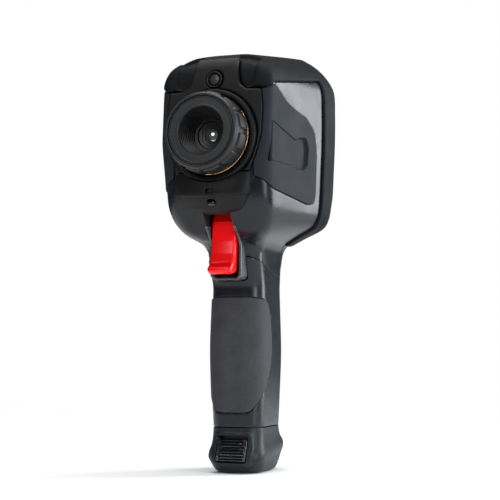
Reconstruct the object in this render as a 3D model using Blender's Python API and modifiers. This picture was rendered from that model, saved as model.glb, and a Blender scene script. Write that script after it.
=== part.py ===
"""Pistol-grip thermal imaging camera, as an assembly of separate pieces.

Frame: the origin is the centre of the foot's underside, on the grip's axis. +Z runs up the grip, -Y is the
way the lens looks and +Y is towards the user, +X is the user's left. Sizes here are in millimetres, and
the helpers turn them into metres.
"""

import math
from collections import namedtuple

import bmesh
import bpy
from mathutils import Matrix, Vector

MM = 0.001

# ---------------------------------------------------------------- driving dimensions, in millimetres
GAP = 0.3  # between neighbouring pieces that touch on the real object
WALL = 2.4  # housing wall

FOOT_TOP = 29.5  # height of the parting line above the foot
NECK_Z = 119.0  # the thinnest height of the neck, under the trigger
HEAD_FLOOR = 147.0  # where the head starts to spread from the neck
HEAD_TOP = 272.0  # top of the head's back edge
GRIP_HALF_WIDTH = 18.7
GRIP_HALF_DEPTH = 25.7
HEAD_HALF_WIDTH = 55.4  # at the back, without the bumper
FACE_HALF_WIDTH = 36.0  # at the front face
FACE_Y = -53.5  # front face of the housing at the lens axis
BACK_Y = 26.0  # back face of the housing at the lens axis
HEAD_TILT = 4.5  # degrees that the lens looks up when the grip stands upright

LENS_Z = 214.0
COVER_RISE = 2.5  # front cover's outer face above the housing
BUMPER_RISE = 1.6
PANEL_RISE = 0.8  # side grips and grip pad above the housing
INLAY = 1.0  # depth of the pockets that hold the side grips and the grip pad

COLLAR_RADIUS = 29.6
MOUNT_RADIUS = 24.6
FOCUS_RADIUS = 25.4
FOCUS_LENGTH = 17.0
BARREL_RADIUS = FOCUS_RADIUS - 3.0
BORE_RADIUS = 15.6  # mouth of the lens bore
BORE_DEPTH = 16.0
BORE_END_RADIUS = 10.3
LENS_RADIUS = 4.5
RUN_CLEARANCE = 0.35  # radial room round the focus ring's bore

TRIGGER_HALF_WIDTH = 8.2
TRIGGER_CLEARANCE = 0.8
TRIGGER_FRONT = -38.2
TRIGGER_TOP = 166.5
TRIGGER_BOTTOM = 127.4
TRIGGER_PIN_Y = -31.0
TRIGGER_PIN_Z = 160.0
TRIGGER_PIN_RADIUS = 1.5
BEZEL_WALL = 1.8
RIM_DROP = 3.4  # the rim's lower end below the trigger
RIM_FRONT = -35.2

LATCH_HALF_WIDTH = 10.4
LATCH_TRAVEL = 1.8
LATCH_HEIGHT = 14.4
LATCH_RIBS = 8

GLASS_WIDTH = 80.0
GLASS_HEIGHT = 56.0
GLASS_THICK = 1.1
BACK_HALF_OPENING = 46.5  # half width of the bumper's opening round the display and the keys

STEPS = 24  # facets of a large turned piece
SMALL_STEPS = 16

ARC_POINTS = 3
SIDE_POINTS = 1

RUBBER = ("rubber", (0.022, 0.023, 0.026), 0.62, 0.0)
GLOSS = ("gloss_shell", (0.018, 0.020, 0.024), 0.28, 0.0)
MATTE = ("matte_cover", (0.020, 0.020, 0.022), 0.55, 0.0)
SOFT = ("side_grip", (0.035, 0.038, 0.043), 0.58, 0.0)
RED = ("trigger_red", (0.72, 0.004, 0.012), 0.30, 0.0)
GOLD = ("accent_gold", (0.62, 0.38, 0.20), 0.28, 1.0)
BLACK = ("lens_black", (0.016, 0.017, 0.019), 0.42, 0.0)
LATCH_BLACK = ("latch_black", (0.012, 0.012, 0.014), 0.22, 0.0)
GERMANIUM = ("germanium", (0.55, 0.62, 0.58), 0.08, 0.0)
GLASS = ("glass", (0.02, 0.02, 0.025), 0.05, 0.0)
STEEL = ("steel", (0.55, 0.55, 0.56), 0.35, 1.0)
BOARD = ("circuit_board", (0.02, 0.16, 0.07), 0.45, 0.0)
PART_GREY = ("inner_plastic", (0.12, 0.12, 0.13), 0.50, 0.0)
CELL_BLUE = ("battery_wrap", (0.03, 0.10, 0.34), 0.40, 0.0)
KEY_GREY = ("key_grey", (0.10, 0.105, 0.11), 0.50, 0.0)

Section = namedtuple("Section", "z front_half back_half y_front y_back r_front r_back")


# ---------------------------------------------------------------- scene, materials and objects
for old in list(bpy.data.objects):
    bpy.data.objects.remove(old)
COLLECTION = bpy.data.collections.new("thermal_camera")
bpy.context.scene.collection.children.link(COLLECTION)


def material_of(spec):
    name, colour, roughness, metallic = spec
    found = bpy.data.materials.get(name)
    if found:
        return found
    made = bpy.data.materials.new(name)
    made.use_nodes = True
    shader = made.node_tree.nodes["Principled BSDF"]
    shader.inputs["Base Color"].default_value = (*colour, 1.0)
    shader.inputs["Roughness"].default_value = roughness
    shader.inputs["Metallic"].default_value = metallic
    made.diffuse_color = (*colour, 1.0)
    return made


def object_of(name, mesh_data, spec=None):
    obj = bpy.data.objects.new(name, mesh_data)
    COLLECTION.objects.link(obj)
    if spec:
        obj.data.materials.clear()
        obj.data.materials.append(material_of(spec))
    return obj


def from_bmesh(name, bm, spec=None):
    bmesh.ops.recalc_face_normals(bm, faces=bm.faces)
    mesh = bpy.data.meshes.new(name)
    bm.to_mesh(mesh)
    bm.free()
    return object_of(name, mesh, spec)


def settle(obj):
    """Gives the object the mesh that its modifiers make, and drops the modifiers."""
    bpy.context.view_layer.update()
    graph = bpy.context.evaluated_depsgraph_get()
    mesh = bpy.data.meshes.new_from_object(obj.evaluated_get(graph))
    obj.modifiers.clear()
    obj.data = mesh
    return obj


def boolean(obj, other, operation, keep_other=False):
    modifier = obj.modifiers.new("Boolean", "BOOLEAN")
    modifier.operation = operation
    modifier.object = other
    modifier.solver = "EXACT"
    settle(obj)
    if not keep_other:
        bpy.data.objects.remove(other)
    return obj


def cut(obj, *cutters):
    for cutter in cutters:
        boolean(obj, cutter, "DIFFERENCE")
    return obj


def keep(obj, region):
    return boolean(obj, region, "INTERSECT")


def join(obj, *others):
    for other in others:
        boolean(obj, other, "UNION")
    return obj


def copy_of(obj, name="copy"):
    return object_of(name, obj.data.copy())


def place(obj, matrix):
    """Moves the object's points by a matrix whose lengths are in millimetres."""
    scaled = matrix.copy()
    scaled.translation *= MM
    obj.data.transform(scaled)
    return obj


# ---------------------------------------------------------------- basic shapes
def block(name, low, high, spec=None, bevel=0.0):
    bpy.ops.mesh.primitive_cube_add(size=1.0)
    obj = bpy.context.object
    size = [(b - a) * MM for a, b in zip(low, high)]
    centre = [(a + b) / 2 * MM for a, b in zip(low, high)]
    obj.data.transform(Matrix.Translation(centre) @ Matrix.Diagonal((*size, 1.0)))
    if bevel:
        modifier = obj.modifiers.new("Bevel", "BEVEL")
        modifier.width = bevel * MM
        modifier.segments = 2
        settle(obj)
    mesh = obj.data
    bpy.data.objects.remove(obj)
    return object_of(name, mesh, spec)


def rod(name, radius, low, high, spec=None, steps=SMALL_STEPS, top_radius=None):
    """A cylinder or cone along Z."""
    bm = bmesh.new()
    bmesh.ops.create_cone(
        bm,
        cap_ends=True,
        segments=steps,
        radius1=radius * MM,
        radius2=(radius if top_radius is None else top_radius) * MM,
        depth=(high - low) * MM,
        matrix=Matrix.Translation((0, 0, (low + high) / 2 * MM)),
    )
    return from_bmesh(name, bm, spec)


def turned(name, profile, spec=None, steps=STEPS):
    """A closed profile of (radius, height) points, turned about Z by a Screw modifier."""
    mesh = bpy.data.meshes.new(name)
    count = len(profile)
    edges = [(i, (i + 1) % count) for i in range(count)]
    mesh.from_pydata([(r * MM, 0, h * MM) for r, h in profile], edges, [])
    obj = object_of(name, mesh)
    screw = obj.modifiers.new("Screw", "SCREW")
    screw.steps = steps
    screw.render_steps = steps
    screw.use_merge_vertices = True
    screw.merge_threshold = 0.00001
    settle(obj)
    bm = bmesh.new()
    bm.from_mesh(obj.data)
    bmesh.ops.remove_doubles(bm, verts=bm.verts, dist=0.000001)
    bpy.data.objects.remove(obj)
    return from_bmesh(name, bm, spec)


def filleted(points, radius, steps=3):
    """An outline whose corners are arcs. radius is one value, or one for each corner."""
    count = len(points)
    radii = radius if hasattr(radius, "__len__") else [radius] * count
    made = []
    for i, corner in enumerate(points):
        here = Vector(corner)
        before = Vector(points[i - 1]) - here
        after = Vector(points[(i + 1) % count]) - here
        if radii[i] <= 0:
            made.append(tuple(here))
            continue
        half = before.angle(after) / 2
        reach = min(radii[i] / math.tan(half), before.length * 0.49, after.length * 0.49)
        start = here + before.normalized() * reach
        end = here + after.normalized() * reach
        for k in range(steps + 1):
            t = k / steps
            made.append(tuple(start * (1 - t) ** 2 + here * (2 * t * (1 - t)) + end * t**2))
    return made


def prism(name, outline, axis, low, high, spec=None):
    """A flat outline, as a filled 2D curve, extruded along one axis. Along X it holds (y, z) points, along Y
    it holds (x, z), along Z it holds (x, y)."""
    curve = bpy.data.curves.new(name, "CURVE")
    curve.dimensions = "2D"
    curve.fill_mode = "BOTH"
    curve.extrude = (high - low) / 2 * MM
    spline = curve.splines.new("POLY")
    spline.points.add(len(outline) - 1)
    for point, (a, b) in zip(spline.points, outline):
        point.co = (a * MM, b * MM, 0, 1)
    spline.use_cyclic_u = True
    guide = object_of("guide", curve)
    bpy.context.view_layer.update()
    mesh = bpy.data.meshes.new_from_object(guide.evaluated_get(bpy.context.evaluated_depsgraph_get()))
    bpy.data.objects.remove(guide)
    turn = {
        "X": Matrix(((0, 0, 1), (1, 0, 0), (0, 1, 0))),
        "Y": Matrix(((1, 0, 0), (0, 0, 1), (0, 1, 0))),
        "Z": Matrix.Identity(3),
    }[axis]
    shift = turn @ Vector((0, 0, (low + high) / 2 * MM))
    bm = bmesh.new()
    bm.from_mesh(mesh)
    bmesh.ops.remove_doubles(bm, verts=bm.verts, dist=0.000001)
    bmesh.ops.transform(bm, matrix=Matrix.Translation(shift) @ turn.to_4x4(), verts=bm.verts)
    return from_bmesh(name, bm, spec)


def loft(name, rings, spec=None):
    """A closed solid through rings that have the same number of points, in millimetres."""
    bm = bmesh.new()
    rows = [[bm.verts.new(Vector(p) * MM) for p in ring] for ring in rings]
    count = len(rows[0])
    for lower, upper in zip(rows, rows[1:]):
        for i in range(count):
            j = (i + 1) % count
            bm.faces.new((lower[i], lower[j], upper[j], upper[i]))
    bm.faces.new(rows[0])
    bm.faces.new(rows[-1])
    bmesh.ops.triangulate(bm, faces=[f for f in bm.faces if len(f.verts) > 4])
    return from_bmesh(name, bm, spec)


# ---------------------------------------------------------------- the outer skin
def grip_z(share):
    return FOOT_TOP + share * (NECK_Z - FOOT_TOP)


def head_z(share):
    return HEAD_FLOOR + share * (HEAD_TOP - HEAD_FLOOR)


def leaning(y, z):
    """The y of a face that leans with the head, given its y at the lens axis."""
    return y + math.tan(math.radians(HEAD_TILT)) * (z - LENS_Z)


def skin_sections():
    g, d = GRIP_HALF_WIDTH, GRIP_HALF_DEPTH
    w, f = HEAD_HALF_WIDTH, FACE_HALF_WIDTH
    shares = (0, 0.05, 0.1, 0.145, 0.195, 0.28, 0.4, 0.54, 0.7, 0.82, 0.88, 0.93, 0.97, 1)
    z = {share: head_z(share) for share in shares}
    front = {k: leaning(FACE_Y, h) for k, h in z.items()}
    back = {k: leaning(BACK_Y, h) for k, h in z.items()}
    return [
        Section(grip_z(0.0), g - 1.4, g - 1.4, 2.3 - d, d - 1.2, 12, 12),
        Section(grip_z(0.2), g - 0.8, g - 0.8, 1.5 - d, d - 0.4, 12.5, 12.5),
        Section(grip_z(0.55), g, g, 0.8 - d, d + 1.0, 13, 13),
        Section(grip_z(0.85), g - 0.5, g - 0.5, 1.8 - d, d + 0.6, 13, 13),
        Section(NECK_Z, g - 0.7, g - 0.7, 2.6 - d, d + 0.2, 13, 13),
        Section(NECK_Z + 7, g - 0.6, g - 0.6, 1.0 - d, d + 0.6, 12.5, 13),
        Section(NECK_Z + 16, g - 0.1, g, -2.0 - d, d + 0.3, 12, 12),
        Section(z[0], g + 1.6, g + 4.0, -6.0 - d, d, 12.5, 10),
        Section(z[0.05], g + 8.5, g + 17, 18.0 + front[0.05], back[0.05] + 1.5, 10, 9),
        Section(z[0.1], g + 12.0, w - 5.5, 12.5 + front[0.1], back[0.1] + 0.5, 11, 8),
        Section(z[0.145], f - 3.6, w - 1.8, 8.0 + front[0.145], back[0.145], 11.5, 8),
        Section(z[0.195], f - 2.6, w - 0.7, 4.5 + front[0.195], back[0.195], 12, 8),
        Section(z[0.28], f - 2.2, w - 0.2, 1.4 + front[0.28], back[0.28], 13, 7),
        Section(z[0.4], f - 1.2, w, 0.2 + front[0.4], back[0.4], 10, 7),
        Section(z[0.54], f, w + 0.2, front[0.54], back[0.54], 6, 7),
        Section(z[0.7], f, w - 0.2, front[0.7], back[0.7], 6, 7),
        Section(z[0.82], f - 0.5, w - 1.4, front[0.82], back[0.82], 6, 7),
        Section(z[0.88], f - 2.0, w - 5.6, front[0.88] + 0.4, back[0.88] - 0.2, 7, 7),
        Section(z[0.93], f - 5.0, w - 11.0, front[0.93] + 1.6, back[0.93] - 0.8, 8, 7),
        Section(z[0.97], f - 11.0, w - 16.6, front[0.97] + 4.0, back[0.97] - 2.2, 8, 7),
        Section(z[1], f - 17.0, w - 22.0, front[1] + 8.0, back[1] - 4.5, 8, 7),
    ]


def monotone(xs, ys, x):
    """Smooth curve through the points that never overshoots them."""
    n = len(xs)
    slopes = [(ys[i + 1] - ys[i]) / (xs[i + 1] - xs[i]) for i in range(n - 1)]
    tangents = [slopes[0], *[(a + b) / 2 if a * b > 0 else 0.0 for a, b in zip(slopes, slopes[1:])], slopes[-1]]
    i = max(k for k in range(n - 1) if xs[k] <= x or k == 0)
    step = xs[i + 1] - xs[i]
    limit = 3 * abs(slopes[i])
    m0 = math.copysign(min(abs(tangents[i]), limit), slopes[i])
    m1 = math.copysign(min(abs(tangents[i + 1]), limit), slopes[i])
    t = (x - xs[i]) / step
    return (
        ys[i] * (2 * t**3 - 3 * t**2 + 1)
        + ys[i + 1] * (3 * t**2 - 2 * t**3)
        + m0 * step * (t**3 - 2 * t**2 + t)
        + m1 * step * (t**3 - t**2)
    )


SECTIONS = skin_sections()
FRONT_DROP = 7.5  # how far the roof falls from the back edge to the front edge
ROOF_CROWN = 3.2
SLANT_FROM = head_z(0.7)


def section_at(z):
    heights = [s.z for s in SECTIONS]
    return Section(z, *[monotone(heights, [s[k] for s in SECTIONS], z) for k in range(1, 7)])


def half_outline(s, arc_points, side_points):
    """The +X half of a rounded trapezoid, from its front middle to its back middle."""
    lean = math.atan2(s.back_half - s.front_half, s.y_back - s.y_front)
    front_x = s.front_half - s.r_front * (1 - math.sin(lean)) / math.cos(lean)
    back_x = s.back_half - s.r_back * (1 + math.sin(lean)) / math.cos(lean)
    points = [(0.0, s.y_front), (front_x * 0.5, s.y_front)]
    for k in range(arc_points + 1):
        a = -math.pi / 2 + (math.pi / 2 - lean) * k / arc_points
        points.append((front_x + s.r_front * math.cos(a), s.y_front + s.r_front + s.r_front * math.sin(a)))
    start = Vector(points[-1])
    first = -lean
    end = Vector((back_x + s.r_back * math.cos(first), s.y_back - s.r_back + s.r_back * math.sin(first)))
    for k in range(1, side_points + 1):
        points.append(tuple(start.lerp(end, k / (side_points + 1))))
    for k in range(arc_points + 1):
        a = first + (math.pi / 2 - first) * k / arc_points
        points.append((back_x + s.r_back * math.cos(a), s.y_back - s.r_back + s.r_back * math.sin(a)))
    points += [(back_x * 0.5, s.y_back), (0.0, s.y_back)]
    return points


def full_outline(s, arc_points=ARC_POINTS, side_points=SIDE_POINTS):
    right = half_outline(s, arc_points, side_points)
    return right + [(-x, y) for x, y in right[-2:0:-1]]


def slanted(x, y, z):
    """Lets the roof fall towards the front."""
    share = min(max((z - SLANT_FROM) / (HEAD_TOP - SLANT_FROM), 0.0), 1.0)
    back, front = leaning(BACK_Y, z), leaning(FACE_Y, z)
    return (x, y, z - FRONT_DROP * share * share * (back - y) / (back - front))


def skin_rings():
    """Rings from the grip's lower end to the roof's middle."""
    grip_shares = (0.0, 0.2, 0.4, 0.6, 0.8, 1.0)
    neck_shares = (0.14, 0.28, 0.55, 0.8)
    head_shares = (0, 0.03, 0.06, 0.095, 0.13, 0.165, 0.2, 0.27, 0.36, 0.48, 0.6, 0.72, 0.82, 0.88, 0.93, 0.97, 1)
    heights = [grip_z(share) for share in grip_shares]
    heights += [NECK_Z + share * (HEAD_FLOOR - NECK_Z) for share in neck_shares]
    heights += [head_z(share) for share in head_shares]
    rings = [[slanted(x, y, z) for x, y in full_outline(section_at(z))] for z in heights]
    last = full_outline(section_at(HEAD_TOP))
    middle_y = (SECTIONS[-1].y_front + SECTIONS[-1].y_back) / 2
    for scale in (0.7, 0.36):
        rise = ROOF_CROWN * (1 - scale * scale)
        ring = [slanted(x * scale, middle_y + (y - middle_y) * scale, HEAD_TOP) for x, y in last]
        rings.append([(x, y, z + rise) for x, y, z in ring])
    return rings


def skin_solid(name, offset=0.0, drop=0.0):
    """The closed body inside the outer skin, grown by offset along its normals, its lower end moved down by drop."""
    bm = bmesh.new()
    rows = [[bm.verts.new(Vector(p) * MM) for p in ring] for ring in skin_rings()]
    count = len(rows[0])
    for lower, upper in zip(rows, rows[1:]):
        for i in range(count):
            j = (i + 1) % count
            bm.faces.new((lower[i], lower[j], upper[j], upper[i]))
    top = sum((v.co for v in rows[-1]), Vector()) / count
    peak = bm.verts.new(top + Vector((0, 0, 0.4 * MM)))
    for i in range(count):
        bm.faces.new((rows[-1][i], rows[-1][(i + 1) % count], peak))
    bmesh.ops.recalc_face_normals(bm, faces=bm.faces)
    bm.normal_update()
    moves = [(v, v.normal.copy()) for v in bm.verts]
    sign = 1.0 if peak.normal.z > 0 else -1.0
    for v, normal in moves:
        v.co += normal * sign * offset * MM
    for v in rows[0]:
        v.co.z = (FOOT_TOP + GAP - drop) * MM
    bm.faces.new(rows[0])
    bmesh.ops.triangulate(bm, faces=bm.faces)
    return from_bmesh(name, bm)


# ---------------------------------------------------------------- placing frames for the lens and the back face
def lens_frame():
    """Local +Z is the way the lens looks, local +Y is up the front face."""
    return Matrix.Translation((0, leaning(FACE_Y, LENS_Z) - COVER_RISE, LENS_Z)) @ Matrix.Rotation(
        math.radians(90 - HEAD_TILT), 4, "X"
    )


def back_frame():
    """Local +Z is out of the display, local +Y is up the back face, local +X is the user's right."""
    t = math.radians(HEAD_TILT)
    turn = Matrix(((-1, 0, 0), (0, math.sin(t), math.cos(t)), (0, math.cos(t), -math.sin(t)))).to_4x4()
    return Matrix.Translation((0, BACK_Y, LENS_Z)) @ turn


LENS = lens_frame()
BACK = back_frame()


# ---------------------------------------------------------------- parting lines, as outlines in the side view (y, z)
FAR = 400.0  # past every face
SPLIT_Y = 8.0  # front of the back shell, on the head
STRIP_Y = 14.5  # front of the back shell, on the grip
DIAGONAL_FRONT = 141.0
DIAGONAL_BACK = 125.0


def split_line(shift=0.0):
    """The line between the front shells and the back shell, from the foot up."""
    return [
        (STRIP_Y + shift, 0),
        (STRIP_Y + shift, HEAD_FLOOR - 12),
        (STRIP_Y - 2 + shift, HEAD_FLOOR - 2),
        (STRIP_Y - 8 + shift, HEAD_FLOOR + 6),
        (leaning(SPLIT_Y, HEAD_FLOOR + 22) + shift, HEAD_FLOOR + 16),
        (leaning(SPLIT_Y, HEAD_TOP) + shift, HEAD_TOP + 30),
    ]


def diagonal(shift=0.0):
    """The line between the head's front shell and the grip's front shell, front to back."""
    slope = (DIAGONAL_BACK - DIAGONAL_FRONT) / (STRIP_Y + 31)
    return [(y, DIAGONAL_FRONT + slope * max(y + 31, 0) + shift) for y in (-100, -31, STRIP_Y + 40)]


def side_prism(name, outline):
    return prism(name, outline, "X", -FAR, FAR)


def back_region():
    return side_prism("back_region", [*split_line(GAP / 2), (FAR, HEAD_TOP + 30), (FAR, 0)])


def front_region(shift=-GAP / 2):
    return side_prism("front_region", [*split_line(shift), (-FAR, HEAD_TOP + 30), (-FAR, 0)])


SIDE_PANEL = [
    (-80, 190),
    (-55.4, 189),
    (-46, 181),
    (-9.5, 173),
    (-3, 173.6),
    (-0.6, 178),
    (0.4, 204),
    (-1.9, 220.7),
    (-10.9, 229),
    (-22, 232.3),
    (-32, 236.5),
    (-44, 247.0),
    (-47, 245.6),
    (-52, 242.8),
    (-80, 239.4),
]
PANEL_FRONT_X = 27.0  # how far round the front corner the side panels reach
DOOR_FRONT = -49.0  # the door's hinge axis at the lens's height
DOOR_REAR = [(-20.0, 210.6), (-23.6, 196.2)]
DOOR_LOW = 198.2
DOOR_HIGH = 222.8
SCOOP = [(-25, 194.6), (-15, 194), (-10, 197.6), (-9.4, 209.6), (-11.7, 216), (-19, 215.6), (-27, 212.6)]
KNUCKLE = 1.7
ROOF_LINE = [(-80, 240.2), (-52, 243.6), (-47, 246.4), (-44, 247.8), (-1.7, 253.6), (30, 257.6)]
GRIP_PAD_TOP = 113.5
GRIP_PAD_LOW = 37.0
SHOULDER_POCKET = [(12.0, 244.8), (28.0, 290.0)]  # recess beside the hump: low and high corner (x, z)
SHOULDER_BACK = -38.0
COVER_BACK_Y = -44.0  # how far back the front cover reaches round the corners


def grown(outline, by):
    """An outline moved outwards by a distance, for clearances."""
    count = len(outline)
    nexts = [*outline[1:], outline[0]]
    area = sum(a[0] * b[1] - b[0] * a[1] for a, b in zip(outline, nexts))
    turn = 1.0 if area > 0 else -1.0
    made = []
    for i in range(count):
        here = Vector(outline[i])
        into = (here - Vector(outline[i - 1])).normalized()
        out = (Vector(outline[(i + 1) % count]) - here).normalized()
        n1, n2 = Vector((into.y, -into.x)) * turn, Vector((out.y, -out.x)) * turn
        both = (n1 + n2) / max((n1 + n2).length, 1e-6)
        made.append(tuple(here + both * by / max(both.dot(n1), 0.35)))
    return made


def grip_pad_outline():
    """The pad's side view: it wraps the front of the grip and narrows to both ends."""
    edge = [(-23, 0.0), (-12, 0.02), (-6, 0.08), (-3.4, 0.17), (-2.2, 0.33), (-2.6, 0.5), (-6.5, 0.66), (-13, 0.79),
            (-18.5, 0.88), (-22, 0.96), (-27, 1.0)]
    tall = GRIP_PAD_TOP - GRIP_PAD_LOW
    return [(-80, GRIP_PAD_TOP), *[(y, GRIP_PAD_TOP - tall * share) for y, share in edge], (-80, GRIP_PAD_LOW)]


COVER_OUTLINE = [
    (13.5, 285),
    (14.2, 262),
    (16.8, 247),
    (21.5, 243.5),
    (31.5, 243),
    (32.6, 232),
    (32.2, 214),
    (29.0, 202),
    (24.8, 191.5),
]


def cover_outline(by=0.0):
    right = COVER_OUTLINE
    return grown([*right, *[(-x, z) for x, z in reversed(right)]], by)


# ---------------------------------------------------------------- skins, made once and copied
SKIN = {}


def skin(offset, drop=0.0):
    key = (offset, drop)
    if key not in SKIN:
        made = skin_solid("skin", offset, drop)
        SKIN[key] = made.data
        bpy.data.objects.remove(made)
    return object_of("skin", SKIN[key].copy())


def overlay(name, region, rise, spec, sink=-INLAY + GAP):
    """A plate that follows the skin, from sink below it to rise above it, inside a region."""
    plate = cut(skin(rise), skin(sink, 4.0))
    keep(plate, region)
    plate.name = name
    plate.data.materials.clear()
    plate.data.materials.append(material_of(spec))
    return plate


def pocket(region, sink=-INLAY):
    """A cutter that takes the skin down by the inlay's depth inside a region."""
    return cut(region, skin(sink, -1.0))


def named(obj, name, spec):
    obj.name = name
    obj.data.name = name
    obj.data.materials.clear()
    obj.data.materials.append(material_of(spec))
    return obj


def hub(radius, low, high, steps=STEPS):
    """A cutter round the lens axis."""
    return place(rod("hub", radius, low, high, steps=steps), LENS)


CAMERA_UP = 36.4  # the small camera's height above the lens axis, along the front face
CAMERA = LENS @ Matrix.Translation((0, CAMERA_UP, 0))


def camera_hub(radius, low, high):
    return place(rod("hub", radius, low, high), CAMERA)


def side_x(y):
    """The x of the housing's flat side at a y, at the lens's height."""
    lean = (HEAD_HALF_WIDTH - FACE_HALF_WIDTH) / (BACK_Y - FACE_Y)
    return FACE_HALF_WIDTH + lean * (y - FACE_Y)


DOOR_AXIS_X = side_x(DOOR_FRONT)
TILT = math.tan(math.radians(HEAD_TILT))


def door_outline(by=0.0):
    front_low = DOOR_FRONT + TILT * (DOOR_LOW - LENS_Z)
    front_high = DOOR_FRONT + TILT * (DOOR_HIGH - LENS_Z)
    return grown([(front_low, DOOR_LOW), *reversed(DOOR_REAR), (front_high, DOOR_HIGH)], by)


def knuckle(name, radius, grow=0.0):
    """A round bar along the door's hinge axis."""
    bar = rod(name, radius, -(LENS_Z - DOOR_LOW) - grow, DOOR_HIGH - LENS_Z + grow, steps=12)
    turn = Matrix.Translation((DOOR_AXIS_X, DOOR_FRONT, LENS_Z)) @ Matrix.Rotation(-math.radians(HEAD_TILT), 4, "X")
    return place(bar, turn)


def roof_region(shift=0.0, front=-80.0):
    line = [(y, z + shift) for y, z in ROOF_LINE]
    return side_prism("roof", [*line, (30, 330), (-80, 330)])


def bumper_region(shift):
    """shift is positive outwards, for the pocket, and negative for the bumper itself."""
    line = split_line(-shift)
    low = HEAD_FLOOR + 1.0 - shift
    start = [(p[0], p[1]) for p in line if p[1] > low]
    first = (line[2][0] + (line[3][0] - line[2][0]) * (low - line[2][1]) / (line[3][1] - line[2][1]), low)
    body = side_prism("bumper_region", [first, *start, (FAR, HEAD_TOP + 30), (FAR, low)])
    roof = roof_region(-shift)
    join(body, roof)
    opening = prism("opening", back_opening(-shift), "Z", -6.0, 60.0)
    cut(body, place(opening, BACK))
    hump_back = COVER_BACK_Y + (GAP if shift < 0 else 0)
    hump = prism("hump", cover_outline(0.0 if shift < 0 else -GAP), "Y", -90, hump_back)
    if shift < 0:
        for side in (1, -1):
            (near_x, low_z), (far_x, high_z) = SHOULDER_POCKET
            low_x, high_x = sorted((side * near_x, side * far_x))
            outline = filleted([(low_x, low_z), (high_x, low_z), (high_x, high_z), (low_x, high_z)], 3.0, 2)
            cut(body, prism("shoulder", outline, "Y", -90, SHOULDER_BACK))
    return cut(body, hump)


def back_opening(by=0.0):
    w = BACK_HALF_OPENING
    return filleted(grown([(-w, -44), (w, -44), (w, 45), (-w, 45)], by), 7.0)


# ---------------------------------------------------------------- openings that several shells share
def trigger_cutters():
    w = TRIGGER_HALF_WIDTH + TRIGGER_CLEARANCE + BEZEL_WALL + GAP
    low = TRIGGER_BOTTOM - RIM_DROP - GAP
    top = TRIGGER_PIN_Z + 4.3
    wide = prism("wide", filleted([(-w, low), (w, low), (w, top), (-w, top)], [3.9, 3.9, 0, 0]), "Y", -70, -24.2)
    inner = TRIGGER_HALF_WIDTH + TRIGGER_CLEARANCE
    tall = block("tall", (-inner, -70, TRIGGER_PIN_Z), (inner, -25.0, TRIGGER_TOP + 3.0))
    return wide, tall


# ---------------------------------------------------------------- housing
def make_front_shells():
    shell = cut(skin(0.0), skin(-WALL, 4.0))
    keep(shell, front_region())
    cut(shell, *trigger_cutters())
    grip = copy_of(shell)
    upper = side_prism("upper", [*diagonal(GAP / 2), (FAR, 400), (-100, 400)])
    lower = side_prism("lower", [*diagonal(-GAP / 2), (FAR, 0), (-100, 0)])
    keep(shell, upper)
    keep(grip, lower)
    region = bumper_region(GAP / 2)
    for side in (1, -1):
        join(region, prism("panel", SIDE_PANEL, "X", *sorted((side * PANEL_FRONT_X, side * FAR))))
    join(region, prism("cover", cover_outline(GAP), "Y", -90, COVER_BACK_Y + GAP))
    cut(shell, pocket(region))
    cut(shell, hub(MOUNT_RADIUS + 0.4, -30, 10), camera_hub(5.5, -30, 10))
    cut(shell, hub(COLLAR_RADIUS + GAP, -3.2, 10))
    port = prism("port", grown(door_outline(), -2.2), "X", 20, 90)
    cut(shell, port, knuckle("knuckle", KNUCKLE + GAP, 0.3))
    shell = add_bosses(shell)
    named(shell, "head_front_shell", GLOSS)
    cut(grip, pocket(side_prism("pad", grip_pad_outline())))
    named(grip, "handle_front_shell", GLOSS)
    return shell, grip


SCREWS = {"lower_left": (1, -35.0), "lower_right": (-1, -35.0), "upper_left": (1, 41.6), "upper_right": (-1, 41.6)}
SCREW_SPREAD = 42.5
BOSS_RADIUS = 3.4
SCREW_RADIUS = 1.3


def screw_place(side, up):
    return BACK @ Matrix.Translation((-side * SCREW_SPREAD, up, 0))


def add_bosses(shell):
    for side, up in SCREWS.values():
        boss = place(rod("boss", BOSS_RADIUS, -52.0, -WALL - GAP, steps=12), screw_place(side, up))
        root = keep(keep(copy_of(boss), front_region(-1.5)), skin(-INLAY - 0.4))
        join(keep(boss, skin(-WALL - GAP)), root)
        join(shell, boss)
        cut(shell, place(rod("hole", SCREW_RADIUS + 0.3, -12.0, 1.0, steps=12), screw_place(side, up)))
    return shell


def make_rear_shell():
    shell = cut(skin(0.0), skin(-WALL, 4.0))
    keep(shell, back_region())
    cut(shell, pocket(bumper_region(GAP / 2)))
    cut(shell, *[place(c, BACK) for c in display_cutters()], *[place(c, BACK) for c in key_cutters()])
    for side, up in SCREWS.values():
        cut(shell, place(rod("hole", SCREW_RADIUS + 0.3, -9.0, 3.0, steps=12), screw_place(side, up)))
        cut(shell, place(rod("sink", 3.0, -1.1, 3.0, steps=12), screw_place(side, up)))
    for k in range(4):
        low = -41.0 + 2.2 * k
        cut(shell, place(block("slot", (-34, low, -6), (-20, low + 1.0, 3)), BACK))
    return named(shell, "rear_shell", GLOSS)


def make_screws():
    for place_name, (side, up) in SCREWS.items():
        head = rod("head", 2.6, -0.8, 0.4, steps=12)
        shaft = rod("shaft", SCREW_RADIUS, -10.0, -0.4, steps=12)
        join(head, shaft)
        cut(head, block("slot", (-0.4, -1.7, -0.1), (0.4, 1.7, 1.0)))
        cut(head, block("slot", (-1.7, -0.4, -0.1), (1.7, 0.4, 1.0)))
        named(place(head, screw_place(side, up)), "screw_" + place_name, STEEL)


def make_bumper():
    plate = overlay("bumper", bumper_region(-GAP / 2), BUMPER_RISE, RUBBER)
    return plate


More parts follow.
